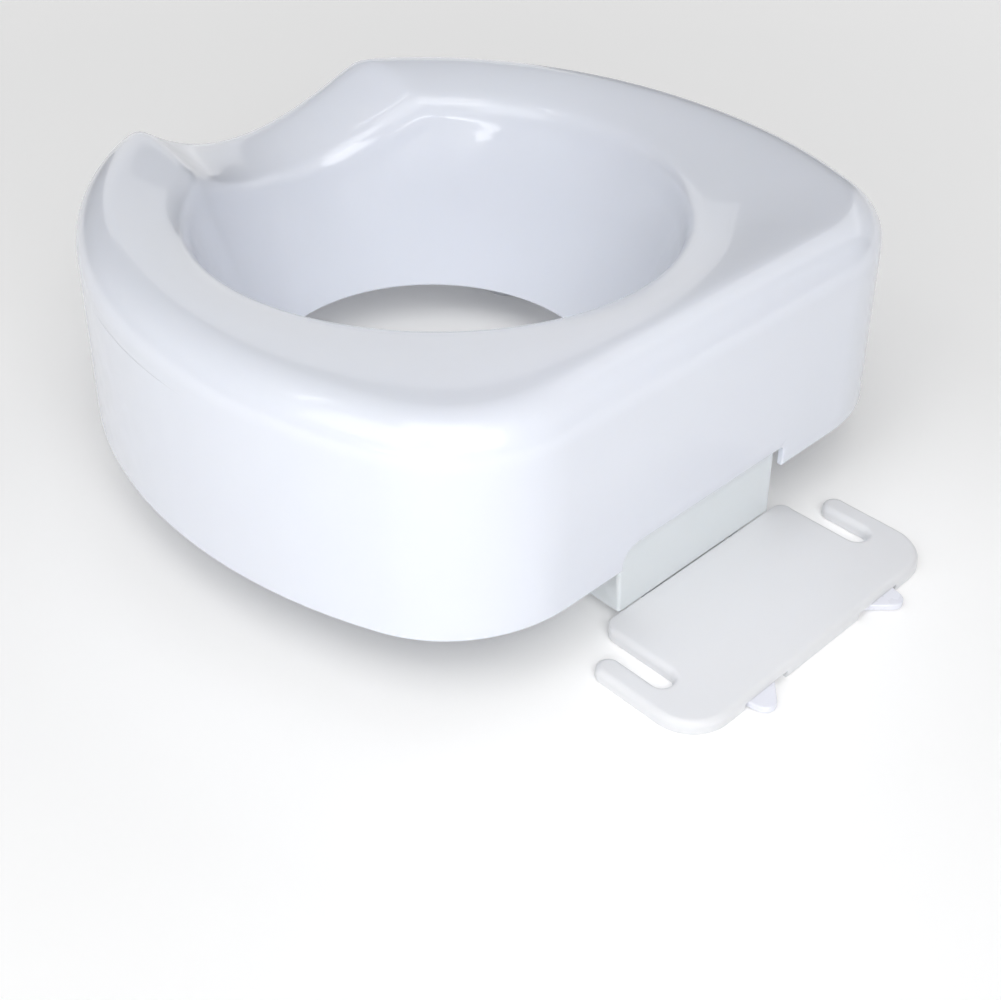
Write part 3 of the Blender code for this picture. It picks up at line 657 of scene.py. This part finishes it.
def inward_normals(rows, normal):
    side = Vector((-normal.y, normal.x, 0.0))
    made = []
    for i in range(len(rows)):
        along = rows[min(i + 1, len(rows) - 1)] - rows[max(i - 1, 0)]
        made.append(along.cross(side).normalized())
    return made


def wall_end(point, inward, tip, steps=4):
    """The rounded end of the wall, from its outer face to its inner face; tip points out of the wall."""
    radius = WALL_END_RADIUS
    start = point - radius * tip
    far = start + WALL * inward
    outer = []
    inner = []
    for i in range(1, steps + 1):
        turn = math.pi / 2 * i / steps
        rise = radius * math.sin(turn) * tip
        outer.append(start + rise + radius * (1 - math.cos(turn)) * inward)
        inner.append(far + rise - radius * (1 - math.cos(turn)) * inward)
    return outer + inner[::-1]


def shell_section(point, normal):
    """The closed outline of the wall on one radial section: outer face, bowl end, inner face, skirt end."""
    rows = section(point, normal)
    inward = inward_normals(rows, normal)
    down = (rows[0] - rows[1]).normalized()
    end = (rows[-1] - rows[-2]).normalized()
    skirt_end = wall_end(rows[0], inward[0], down)
    bowl_end = wall_end(rows[-1], inward[-1], end)
    outer = rows[:]
    outer[0] = rows[0] - WALL_END_RADIUS * down
    outer[-1] = rows[-1] - WALL_END_RADIUS * end
    inner = [place + WALL * side for place, side in zip(outer, inward)]
    return outer + bowl_end + inner[::-1] + skirt_end[::-1]


def rib_space():
    """The closed space that the ribs may fill: half a wall in from the skin, and open below."""
    sections = []
    for point, normal in plan_outline(28, 10, 5, 5):
        rows = section(point, normal, 4, 8, 7, 6, 5)
        inner = [place + WALL / 2 * side for place, side in zip(rows, inward_normals(rows, normal))]
        feet = [Vector((end.x, end.y, 0.0)) for end in (inner[0], inner[-1])]
        sections.append([feet[0]] + inner + [feet[1]])
    return ring_loft("rib_space", sections, closed=True)


def leg(name, place):
    """A cross-shaped leg whose two plates widen into ribs under the deck."""
    x, y = place
    foot = PAD_HEIGHT + GAP
    half = RIB / 2
    thin = half - 0.1 * MM
    top = SEAT_TOP_Z + 5.0 * MM
    shapes = [
        ((x - RIB_REACH, y - thin, RIB_BOTTOM_Z), (x + RIB_REACH, y + thin, top)),
        ((x - LEG_REACH, y - half, foot), (x + LEG_REACH, y + half, top + 1.0 * MM)),
        ((x - half, y - LEG_REACH, foot + 0.05 * MM), (x + half, y + LEG_REACH, top + 2.0 * MM)),
    ]
    made, *others = [box(f"rib_{name}_{i}", low, high, 0.5 * MM) for i, (low, high) in enumerate(shapes)]
    core = cylinder(f"leg_core_{name}", place, LEG_CORE_RADIUS, foot + 0.1 * MM, LEG_CORE_TOP_Z, 32,
                    0.5 * MM)
    combine(made, others + [core], "UNION")
    return combine(made, [rib_space()], "INTERSECT")


def flange_screw_places():
    x = RECEIVER_HALF_WIDTH + FLANGE_WIDTH / 2
    front = WEB_Y - RECEIVER_DEPTH + FLANGE_SCREW_INSET
    rear = WEB_Y - FLANGE_SCREW_INSET
    return {
        "front_left": (x, front),
        "front_right": (-x, front),
        "rear_left": (x, rear),
        "rear_right": (-x, rear),
    }


def notch_outline(grow):
    left = NOTCH_SIDES[0] + grow
    right = NOTCH_SIDES[1] - grow
    top = NOTCH_TOP_Z + grow
    left_radius, right_radius = [radius + grow for radius in NOTCH_RADII]
    points = [(left, 0.0)]
    points += arc((left - left_radius, top - left_radius), left_radius, 0, 90, 12)
    points += arc((right + right_radius, top - right_radius), right_radius, 90, 180, 12)
    return points + [(right, 0.0)]


def notch_cutter():
    """The notch's space, flared where it leaves the wall so that the notch has rounded edges."""
    outer = SEAT_REAR_Y
    inner = SEAT_REAR_Y - WALL
    radius = NOTCH_EDGE_RADIUS
    stations = [(inner - 4.0 * MM, radius)]
    for i in range(6):
        turn = math.pi / 2 * i / 5
        flare = 1 - math.sin(math.acos(1 - math.sin(turn)))
        stations.append((inner + radius * math.sin(turn), radius * flare))
    for i in range(6):
        turn = math.pi / 2 * (5 - i) / 5
        flare = 1 - math.sin(math.acos(1 - math.sin(turn)))
        stations.append((outer - radius * math.sin(turn), radius * flare))
    stations.append((outer + 4.0 * MM, radius))
    rings = [[(x, y, z) for x, z in notch_outline(grow)] for y, grow in stations]
    return ring_loft("notch_cutter", rings)


def seat_shell(look):
    shell = ring_loft("seat_shell", [shell_section(p, n) for p, n in plan_outline()], closed=True)
    combine(shell, [notch_cutter()], "DIFFERENCE")
    inner = [leg(name, place) for name, place in LEG_PLACES.items()]
    for name, place in flange_screw_places().items():
        boss = cylinder(f"boss_{name}", place, BOSS_RADIUS, RECEIVER_TOP_Z + GAP, SEAT_TOP_Z, 40, 0.4 * MM)
        inner.append(combine(boss, [rib_space()], "INTERSECT"))
    join(shell, inner)
    return piece(shell, "seat_shell", "seat", look)


# ---------------------------------------------------------------- receiver and bracket plate


def lock_receiver(look):
    half = RECEIVER_HALF_WIDTH
    wall = RECEIVER_WALL
    floor_z = PLATE_THICKNESS + GAP
    front = WEB_Y - RECEIVER_DEPTH
    corner = RECEIVER_CORNER_RADIUS
    outline = [(half, front)] + arc((half - corner, WEB_Y - corner), corner, 0, 90, 8)
    body = rounded_slab("lock_receiver", outline + mirrored(outline), floor_z, RECEIVER_TOP_Z,
                        0.1 * MM, 0.3 * MM, 2)
    hollow = box("receiver_hollow", (-half + wall, front - wall, floor_z + wall),
                 (half - wall, WEB_Y - wall, RECEIVER_TOP_Z + wall))
    combine(body, [hollow], "DIFFERENCE")
    added = []
    edge = 0.4 * MM
    for side in (-1, 1):
        name = side_name(side)
        added.append(span_box(f"flange_{name}", side, (half - wall / 2, front, RECEIVER_TOP_Z - wall),
                              (half + FLANGE_WIDTH, WEB_Y - FLANGE_SETBACK, RECEIVER_TOP_Z), edge))
        added.append(span_box(f"rail_{name}", side, (RAIL_INNER_X, front, GAP),
                              (RAIL_OUTER_X, WEB_Y - RAIL_SETBACK, floor_z + wall / 2), edge))
        added.append(span_box(f"rail_lip_{name}", side, (RAIL_LIP_X, front, GAP),
                              (RAIL_INNER_X + 1.0 * MM, WEB_Y - RAIL_SETBACK, RAIL_LIP_TOP_Z), edge))
        added.append(span_box(f"receiver_rib_{name}", side,
                              (RAIL_INNER_X, front + 2.0 * MM, floor_z + wall / 2),
                              (RAIL_INNER_X + wall, WEB_Y - wall / 2, RECEIVER_RIB_TOP_Z), edge))
    combine(body, added, "UNION")
    holes = []
    for name, place in flange_screw_places().items():
        holes.append(cylinder(f"flange_hole_{name}", place, SCREW_SHANK_RADIUS + GAP,
                              RECEIVER_TOP_Z - 2 * wall, RECEIVER_TOP_Z + wall, 32))
    combine(body, holes, "DIFFERENCE")
    return piece(body, "lock_receiver", "seat", look)


def plate_outline(inset=0.0):
    """Plan of the bracket plate; a positive inset gives the outline of the pocket under its body."""
    body = BODY_HALF_WIDTH - inset
    front = PLATE_FRONT_Y + inset
    rear = PLATE_REAR_Y - inset
    corner = BODY_CORNER_RADIUS - inset
    half = arc((body - corner, front + corner), corner, -90, 0, 14)
    if inset:
        half += arc((body - inset, rear - inset), inset, 0, 90, 6)
        return half + mirrored(half)
    slot = SLOT_WIDTH / 2
    tip = ARM_WIDTH / 2
    slot_x = body + slot
    arm_x = body + SLOT_WIDTH + tip
    outer = body + SLOT_WIDTH + ARM_WIDTH
    half += arc((slot_x, SLOT_END_Y - slot), slot, 180, 0, 18)
    half += arc((arm_x, ARM_TIP_Y + tip), tip, 180, 360, 24)
    half += arc((outer - REAR_RADIUS, rear - REAR_RADIUS), REAR_RADIUS, 0, 90, 20)
    return half + mirrored(half)


def plate_rim_share(point):
    """The plate's rim is well rounded, but nearly square along the front edge that meets the receiver."""
    rise = min(1.0, max(0.0, (point[1] - PLATE_FRONT_Y) / BODY_CORNER_RADIUS))
    return 0.06 + 0.94 * rise


def lock_plate(look):
    plate = rounded_slab("lock_plate", plate_outline(), 0.0, PLATE_THICKNESS,
                         PLATE_BOTTOM_RADIUS, PLATE_TOP_RADIUS, 7, plate_rim_share)
    roof = PLATE_THICKNESS - PLATE_SKIN
    relief = BODY_HALF_WIDTH - BODY_CORNER_RADIUS
    cuts = [
        rounded_slab("plate_pocket", plate_outline(PLATE_RIM), -1.0 * MM, roof),
        box("front_relief", (-relief, PLATE_FRONT_Y - 1.5 * MM, -1.5 * MM),
            (relief, PLATE_FRONT_Y + 0.8 * MM, roof + 1.3 * MM)),
    ]
    for side in (-1, 1):
        name = side_name(side)
        cuts.append(span_box(f"tab_window_{name}", side,
                             (TAB_INNER_X - TAB_WINDOW_SIDES[0], PLATE_REAR_Y - TAB_WINDOW_DEPTH, -1.0 * MM),
                             (TAB_OUTER_X + TAB_WINDOW_SIDES[1], PLATE_REAR_Y + 2.0 * MM, roof)))
        cuts.append(span_box(f"jaw_window_{name}", side,
                             (RAIL_OUTER_X - 1.5 * MM, PLATE_FRONT_Y - 1.0 * MM, -1.0 * MM),
                             (JAW_X + 17.0 * MM, PLATE_FRONT_Y + 6.0 * MM, roof)))
    combine(plate, cuts, "DIFFERENCE")
    root = PLATE_FRONT_Y + PLATE_RIM
    added = [
        box("tongue", (-TONGUE_HALF_WIDTH, WEB_Y - TONGUE_LENGTH, TONGUE_BOTTOM_Z),
            (TONGUE_HALF_WIDTH, root, roof + 0.6 * MM), 0.5 * MM),
        box("centre_rib", (-RIB / 2, root - 1.0 * MM, 0.5 * MM),
            (RIB / 2, PLATE_REAR_Y - 1.0 * MM, roof + 1.0 * MM), 0.3 * MM),
    ]
    for side in (-1, 1):
        name = side_name(side)
        pivot = (side * PIVOT.x, PIVOT.y)
        peg = (side * SPRING_PEG.x, SPRING_PEG.y)
        peg_radius = SPRING_COIL_RADIUS - WIRE_RADIUS - GAP
        top = roof + 1.0 * MM
        added.append(cylinder(f"pivot_post_{name}", pivot, POST_RADIUS, HUB_FACE_Z, top, 48, 0.2 * MM))
        added.append(cylinder(f"spring_peg_{name}", peg, peg_radius, 0.6 * MM, top, 40, 0.3 * MM))
    combine(plate, added, "UNION")
    return piece(plate, "lock_plate", "bracket", look)


# ---------------------------------------------------------------- latch


def lever_outline():
    """Plan of the left lever: jaw in front, hub, and the tail that ends in a finger tab."""
    tail_y = PLATE_REAR_Y - TAIL_LENGTH
    points = [
        (JAW_X, JAW_FRONT_Y),
        (JAW_X + JAW_TIP_WIDTH, JAW_FRONT_Y),
        (JAW_X + 2 * ARM_HALF, WEB_Y + 4.0 * MM),
        (PIVOT.x + ARM_HALF, PIVOT.y - 10.0 * MM),
    ]
    points += arc(PIVOT, HUB_RADIUS, -55, 50, 18)
    points += [(TAB_OUTER_X, tail_y), (TAB_OUTER_X, PLATE_REAR_Y - 1.0 * MM)]
    points += arc(TAB_TIP, TAB_TIP_RADIUS, 10, 140, 16)
    points += [(TAB_INNER_X, PLATE_REAR_Y - 2.0 * MM), (TAB_INNER_X, tail_y)]
    points += arc(PIVOT, HUB_RADIUS, 130, 215, 14)
    relieved = JAW_X + JAW_RELIEF
    jaw_end = JAW_FRONT_Y + JAW_LENGTH
    points += [(PIVOT.x - ARM_HALF - JAW_RELIEF, PIVOT.y - 14.0 * MM), (relieved, WEB_Y + 2.0 * MM)]
    points += [(relieved, jaw_end), (JAW_X, jaw_end - JAW_RELIEF)]
    return points


def latch_lever(side, look):
    name = side_name(side)
    outline = lever_outline()
    if side < 0:
        outline = mirrored(outline)
    lever = rounded_slab(f"latch_lever_{name}", outline, LEVER_BOTTOM_Z, LEVER_TOP_Z,
                         LEVER_EDGE_RADIUS, LEVER_EDGE_RADIUS, 4)
    place = (side * PIVOT.x, PIVOT.y)
    bore = cylinder(f"lever_bore_{name}", place, POST_RADIUS + GAP, 0.0, 6.0 * MM)
    recess = cylinder(f"hub_recess_{name}", place, HUB_RECESS_RADIUS, 0.0, HUB_FACE_Z)
    combine(lever, [bore, recess], "DIFFERENCE")
    return piece(lever, f"latch_lever_{name}", f"{name}_lever", look)


def screw(name, place, head_z, head_height, length, body, steel):
    """A round-headed screw that points up, with a cross recess in its head."""
    head = SCREW_HEAD_RADIUS
    shank = SCREW_SHANK_RADIUS
    top = head_z + head_height + length
    crown = min(0.8 * MM, head_height * 0.6)
    profile = [
        (0.0, top),
        (shank * 0.4, top),
        (shank, top - 1.5 * MM),
        (shank, head_z + head_height),
        (head, head_z + head_height),
        (head, head_z + crown),
    ]
    profile += [(head - crown * (1 - math.cos(t)), head_z + crown * (1 - math.sin(t)))
                for t in [math.pi / 2 * i / 6 for i in range(1, 7)]]
    profile += [(0.0, head_z)]
    made = turned(name, place, profile, 48)
    depth = head_height * 0.5
    for i in range(2):
        long, short = 2.2 * MM, 0.45 * MM
        half = (long, short) if i == 0 else (short, long)
        slot = box(f"{name}_drive_{i}", (place[0] - half[0], place[1] - half[1], head_z - 0.5 * MM),
                   (place[0] + half[0], place[1] + half[1], head_z + depth))
        combine(made, [slot], "DIFFERENCE")
    return piece(made, name, body, steel)


def lever_hardware(side, steel):
    """The washer and screw that hold a lever's hub on its post, inside the hub's recess."""
    name = side_name(side)
    place = (side * PIVOT.x, PIVOT.y)
    top = HUB_FACE_Z - SEAT
    low = top - WASHER_THICKNESS
    bore = SCREW_SHANK_RADIUS + SEAT
    rim = HUB_RECESS_RADIUS - 2 * GAP
    ring = rounded_profile([(bore, top), (rim, top), (rim, low), (bore, low)],
                           {1: 0.12 * MM, 2: 0.12 * MM})
    piece(turned("washer", place, ring), f"lever_washer_{name}", "bracket", steel)
    head_z = low - SEAT - LEVER_SCREW_HEAD_HEIGHT
    screw(f"lever_screw_{name}", place, head_z, LEVER_SCREW_HEAD_HEIGHT, LEVER_SCREW_LENGTH,
          "bracket", steel)


def latch_spring(side, steel):
    """A coil on a peg, with one leg against the centre rib and one against the lever's tail."""
    name = f"latch_spring_{side_name(side)}"
    roof = PLATE_THICKNESS - PLATE_SKIN
    pitch = 2.2 * WIRE_RADIUS
    low = roof - GAP - WIRE_RADIUS - pitch * (SPRING_TURNS + 1 / 12)
    coil = []
    for i in range(SPRING_TURNS * SPRING_STEPS + 2):
        angle = 2 * math.pi * i / SPRING_STEPS - math.pi / 2
        coil.append(Vector((SPRING_PEG.x + SPRING_COIL_RADIUS * math.cos(angle),
                            SPRING_PEG.y + SPRING_COIL_RADIUS * math.sin(angle),
                            low + pitch * i / SPRING_STEPS)))
    clear = GAP + WIRE_RADIUS
    first = Vector((RIB / 2 + clear, coil[0].y, coil[0].z))
    heading = coil[-1] - coil[-2]
    heading.z = 0.0
    last = coil[-1] + heading * (TAB_INNER_X - clear - coil[-1].x) / heading.x
    curve = bpy.data.curves.new(name, "CURVE")
    curve.dimensions = "3D"
    curve.bevel_depth = WIRE_RADIUS
    curve.bevel_resolution = 5
    curve.use_fill_caps = True
    points = [first] + coil + [last]
    spline = curve.splines.new("POLY")
    spline.points.add(len(points) - 1)
    for point, place in zip(spline.points, points):
        point.co = (side * place.x, place.y, place.z, 1.0)
    spline.use_smooth = True
    made = bpy.data.objects.new(name, curve)
    bpy.context.scene.collection.objects.link(made)
    return piece(made, name, "bracket", steel)


# ---------------------------------------------------------------- pads


def rim_pad(name, place, look):
    """A rubber pad with rounded edges, a screw recess and grooves on the face that it stands on."""
    bore = SCREW_SHANK_RADIUS + GAP
    groove = 0.7 * MM
    profile = [(bore, PAD_HEIGHT)]
    profile += rounded_corner((PAD_RADIUS, PAD_HEIGHT), (bore, PAD_HEIGHT), (PAD_RADIUS, 0.0), 1.5 * MM, 6)
    profile += rounded_corner((PAD_RADIUS, 0.0), (PAD_RADIUS, PAD_HEIGHT), (bore, 0.0), 1.5 * MM, 6)
    for radius in (11.2 * MM, 8.8 * MM):
        profile += [(radius + groove / 2, 0.0), (radius + groove / 3, groove),
                    (radius - groove / 3, groove), (radius - groove / 2, 0.0)]
    profile += [(PAD_RECESS_RADIUS + 0.4 * MM, 0.0), (PAD_RECESS_RADIUS, 0.4 * MM)]
    profile += [(PAD_RECESS_RADIUS, PAD_RECESS_DEPTH), (bore, PAD_RECESS_DEPTH)]
    return piece(turned("pad", place, profile, 72), f"rim_pad_{name}", "seat", look)


# ---------------------------------------------------------------- floor, light and camera


def floor(look):
    """A wide flat sheet at z = 0."""
    bm = bmesh.new()
    bmesh.ops.create_grid(bm, x_segments=4, y_segments=4, size=6.0)
    made = object_from_bmesh(bm, "floor")
    made.data.materials.append(look)


def area_light(name, place, target, size, power):
    light = bpy.data.lights.new(name, "AREA")
    light.shape = "RECTANGLE"
    light.size, light.size_y = size
    light.energy = power
    made = bpy.data.objects.new(name, light)
    made.location = place
    made.rotation_mode = "QUATERNION"
    made.rotation_quaternion = (target - place).to_track_quat("-Z", "Y")
    bpy.context.scene.collection.objects.link(made)
    return made


def towards(bearing, height):
    """A unit direction; bearing is in degrees from +X towards +Y, and height in degrees above level."""
    turn, rise = math.radians(bearing), math.radians(height)
    return Vector((math.cos(turn) * math.cos(rise), math.sin(turn) * math.cos(rise), math.sin(rise)))


def panel(name, bearing, height, power, distance=2.0, size=1.2):
    """A soft square panel aimed at the seat."""
    area_light(name, LIGHT_TARGET + distance * towards(bearing, height), LIGHT_TARGET, (size, size), power)


def strip(name, target, first, second, power, thickness=0.045, distance=1.5):
    """A thin bright strip between two directions from the target, which the gloss mirrors as a streak."""
    ends = [target + distance * towards(*way) for way in (first, second)]
    middle = (ends[0] + ends[1]) / 2
    along = ends[1] - ends[0]
    length = along.length
    along.normalize()
    back = middle - target
    back = (back - back.dot(along) * along).normalized()
    turn = Matrix((along, back.cross(along), back)).transposed()
    made = area_light(name, middle, target, (length, thickness), power)
    made.rotation_quaternion = turn.to_quaternion()


def spot(name, place, target, cone, power):
    """A soft-edged spot; cone is its full angle in degrees."""
    light = bpy.data.lights.new(name, "SPOT")
    light.energy = power
    light.spot_size = math.radians(cone)
    light.spot_blend = 1.0
    light.shadow_soft_size = 0.15
    made = bpy.data.objects.new(name, light)
    made.location = place
    made.rotation_mode = "QUATERNION"
    made.rotation_quaternion = (target - place).to_track_quat("-Z", "Y")
    bpy.context.scene.collection.objects.link(made)


def studio():
    """Soft panels on every side, thin strips for the lip's streaks, and two spots."""
    world = bpy.data.worlds.new("studio")
    world.use_nodes = True
    shade = world.node_tree.nodes["Background"]
    shade.inputs["Color"].default_value = (1.0, 1.0, 1.0, 1.0)
    shade.inputs["Strength"].default_value = WORLD_STRENGTH
    bpy.context.scene.world = world
    panel("key", 60.0, 40.0, 17.2)
    panel("side_key", 0.0, 40.0, 6.8)
    panel("high_fill", 30.0, 65.0, 9.7)
    panel("low_side", 30.0, 12.0, 2.3)
    panel("low_rear", 60.0, 12.0, 1.0)
    panel("rear_fill", 130.0, 40.0, 0.7)
    panel("far_fill", 180.0, 40.0, 3.5)
    panel("far_high", 180.0, 65.0, 0.4)
    panel("far_low", 180.0, 12.0, 2.3)
    panel("front_low", 240.0, 12.0, 3.8)
    panel("front_side_low", 300.0, 12.0, 0.8)
    strip("streak_side", Vector((-0.061, -0.158, 0.123)), (-42.0, 62.0), (-24.0, 47.0), 0.4)
    strip("streak_rear", Vector((-0.026, -0.166, 0.104)), (97.0, 44.0), (60.0, 60.0), 0.3)
    strip("streak_low", Vector((-0.097, -0.112, 0.125)), (35.0, 11.0), (7.0, 4.0), 0.9)
    spot("plate_spot", SPOT_PLACE, Vector((0.09, 0.185, 0.0)), 12.0, 14.0)
    spot("corner_spot", SPOT_PLACE, Vector((0.12, 0.14, 0.145)), 12.0, 3.0)
    bpy.context.scene.view_settings.view_transform = "Standard"


def camera():
    """The camera, turned by its azimuth, elevation and roll."""
    azimuth = math.radians(CAMERA_AZIMUTH)
    elevation = math.radians(CAMERA_ELEVATION)
    roll = math.radians(CAMERA_ROLL)
    back = Vector((math.sin(azimuth) * math.cos(elevation), -math.cos(azimuth) * math.cos(elevation),
                   math.sin(elevation)))
    right = (-back).cross(Vector((0.0, 0.0, 1.0))).normalized()
    up = right.cross(-back)
    across = math.cos(roll) * right + math.sin(roll) * up
    upright = math.cos(roll) * up - math.sin(roll) * right
    lens = bpy.data.cameras.new("camera")
    lens.lens = CAMERA_LENS
    lens.sensor_width = 36.0
    lens.shift_y = CAMERA_SHIFT_Y
    made = bpy.data.objects.new("camera", lens)
    turn = Matrix((across, upright, back)).transposed()
    made.matrix_world = Matrix.Translation(CAMERA_PLACE) @ turn.to_4x4()
    bpy.context.scene.collection.objects.link(made)
    bpy.context.scene.camera = made


def build():
    seat_white = moulded_plastic("seat_white", (0.79, 0.822, 0.895), (0.785, 0.812, 0.89),
                                 (0.83, 0.85, 0.89), 0.22, 0.45, 0.012 * MM, lined=True)
    receiver_white = moulded_plastic("receiver_white", (0.80, 0.85, 0.87), (0.81, 0.85, 0.88),
                                     (0.84, 0.87, 0.88), 0.32, 0.1, 0.02 * MM)
    plate_white = moulded_plastic("plate_white", (0.785, 0.79, 0.81), (0.775, 0.785, 0.81),
                                  (0.82, 0.83, 0.85), 0.36, 0.1, 0.03 * MM)
    lever_white = moulded_plastic("lever_white", (0.82, 0.83, 0.90), (0.81, 0.82, 0.90), (0.86, 0.87, 0.90),
                                  0.28, 0.2, 0.015 * MM)
    steel = turned_steel("plated_steel", (0.62, 0.63, 0.65), 0.3)
    rubber = soft_rubber("grey_rubber", (0.70, 0.71, 0.73), 0.75)
    seat_shell(seat_white)
    lock_receiver(receiver_white)
    lock_plate(plate_white)
    for side in (1, -1):
        latch_lever(side, lever_white)
        lever_hardware(side, steel)
        latch_spring(side, steel)
    for name, place in LEG_PLACES.items():
        rim_pad(name, place, rubber)
        head_z = PAD_RECESS_DEPTH - SEAT - SCREW_HEAD_HEIGHT
        screw(f"rim_pad_screw_{name}", place, head_z, SCREW_HEAD_HEIGHT, PAD_SCREW_LENGTH, "seat", steel)
    for name, place in flange_screw_places().items():
        head_z = RECEIVER_TOP_Z - RECEIVER_WALL - SEAT - SCREW_HEAD_HEIGHT
        screw(f"receiver_screw_{name}", place, head_z, SCREW_HEAD_HEIGHT, RECEIVER_SCREW_LENGTH,
              "seat", steel)


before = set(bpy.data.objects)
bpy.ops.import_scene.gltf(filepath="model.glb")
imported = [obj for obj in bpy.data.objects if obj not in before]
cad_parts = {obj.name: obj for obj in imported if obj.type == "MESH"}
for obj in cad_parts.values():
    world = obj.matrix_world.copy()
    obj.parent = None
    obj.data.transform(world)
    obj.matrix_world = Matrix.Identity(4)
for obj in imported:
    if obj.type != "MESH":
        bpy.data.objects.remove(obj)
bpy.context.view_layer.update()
build()
floor(floor_look("pale_floor", (0.93, 0.93, 0.93)))
studio()
camera()
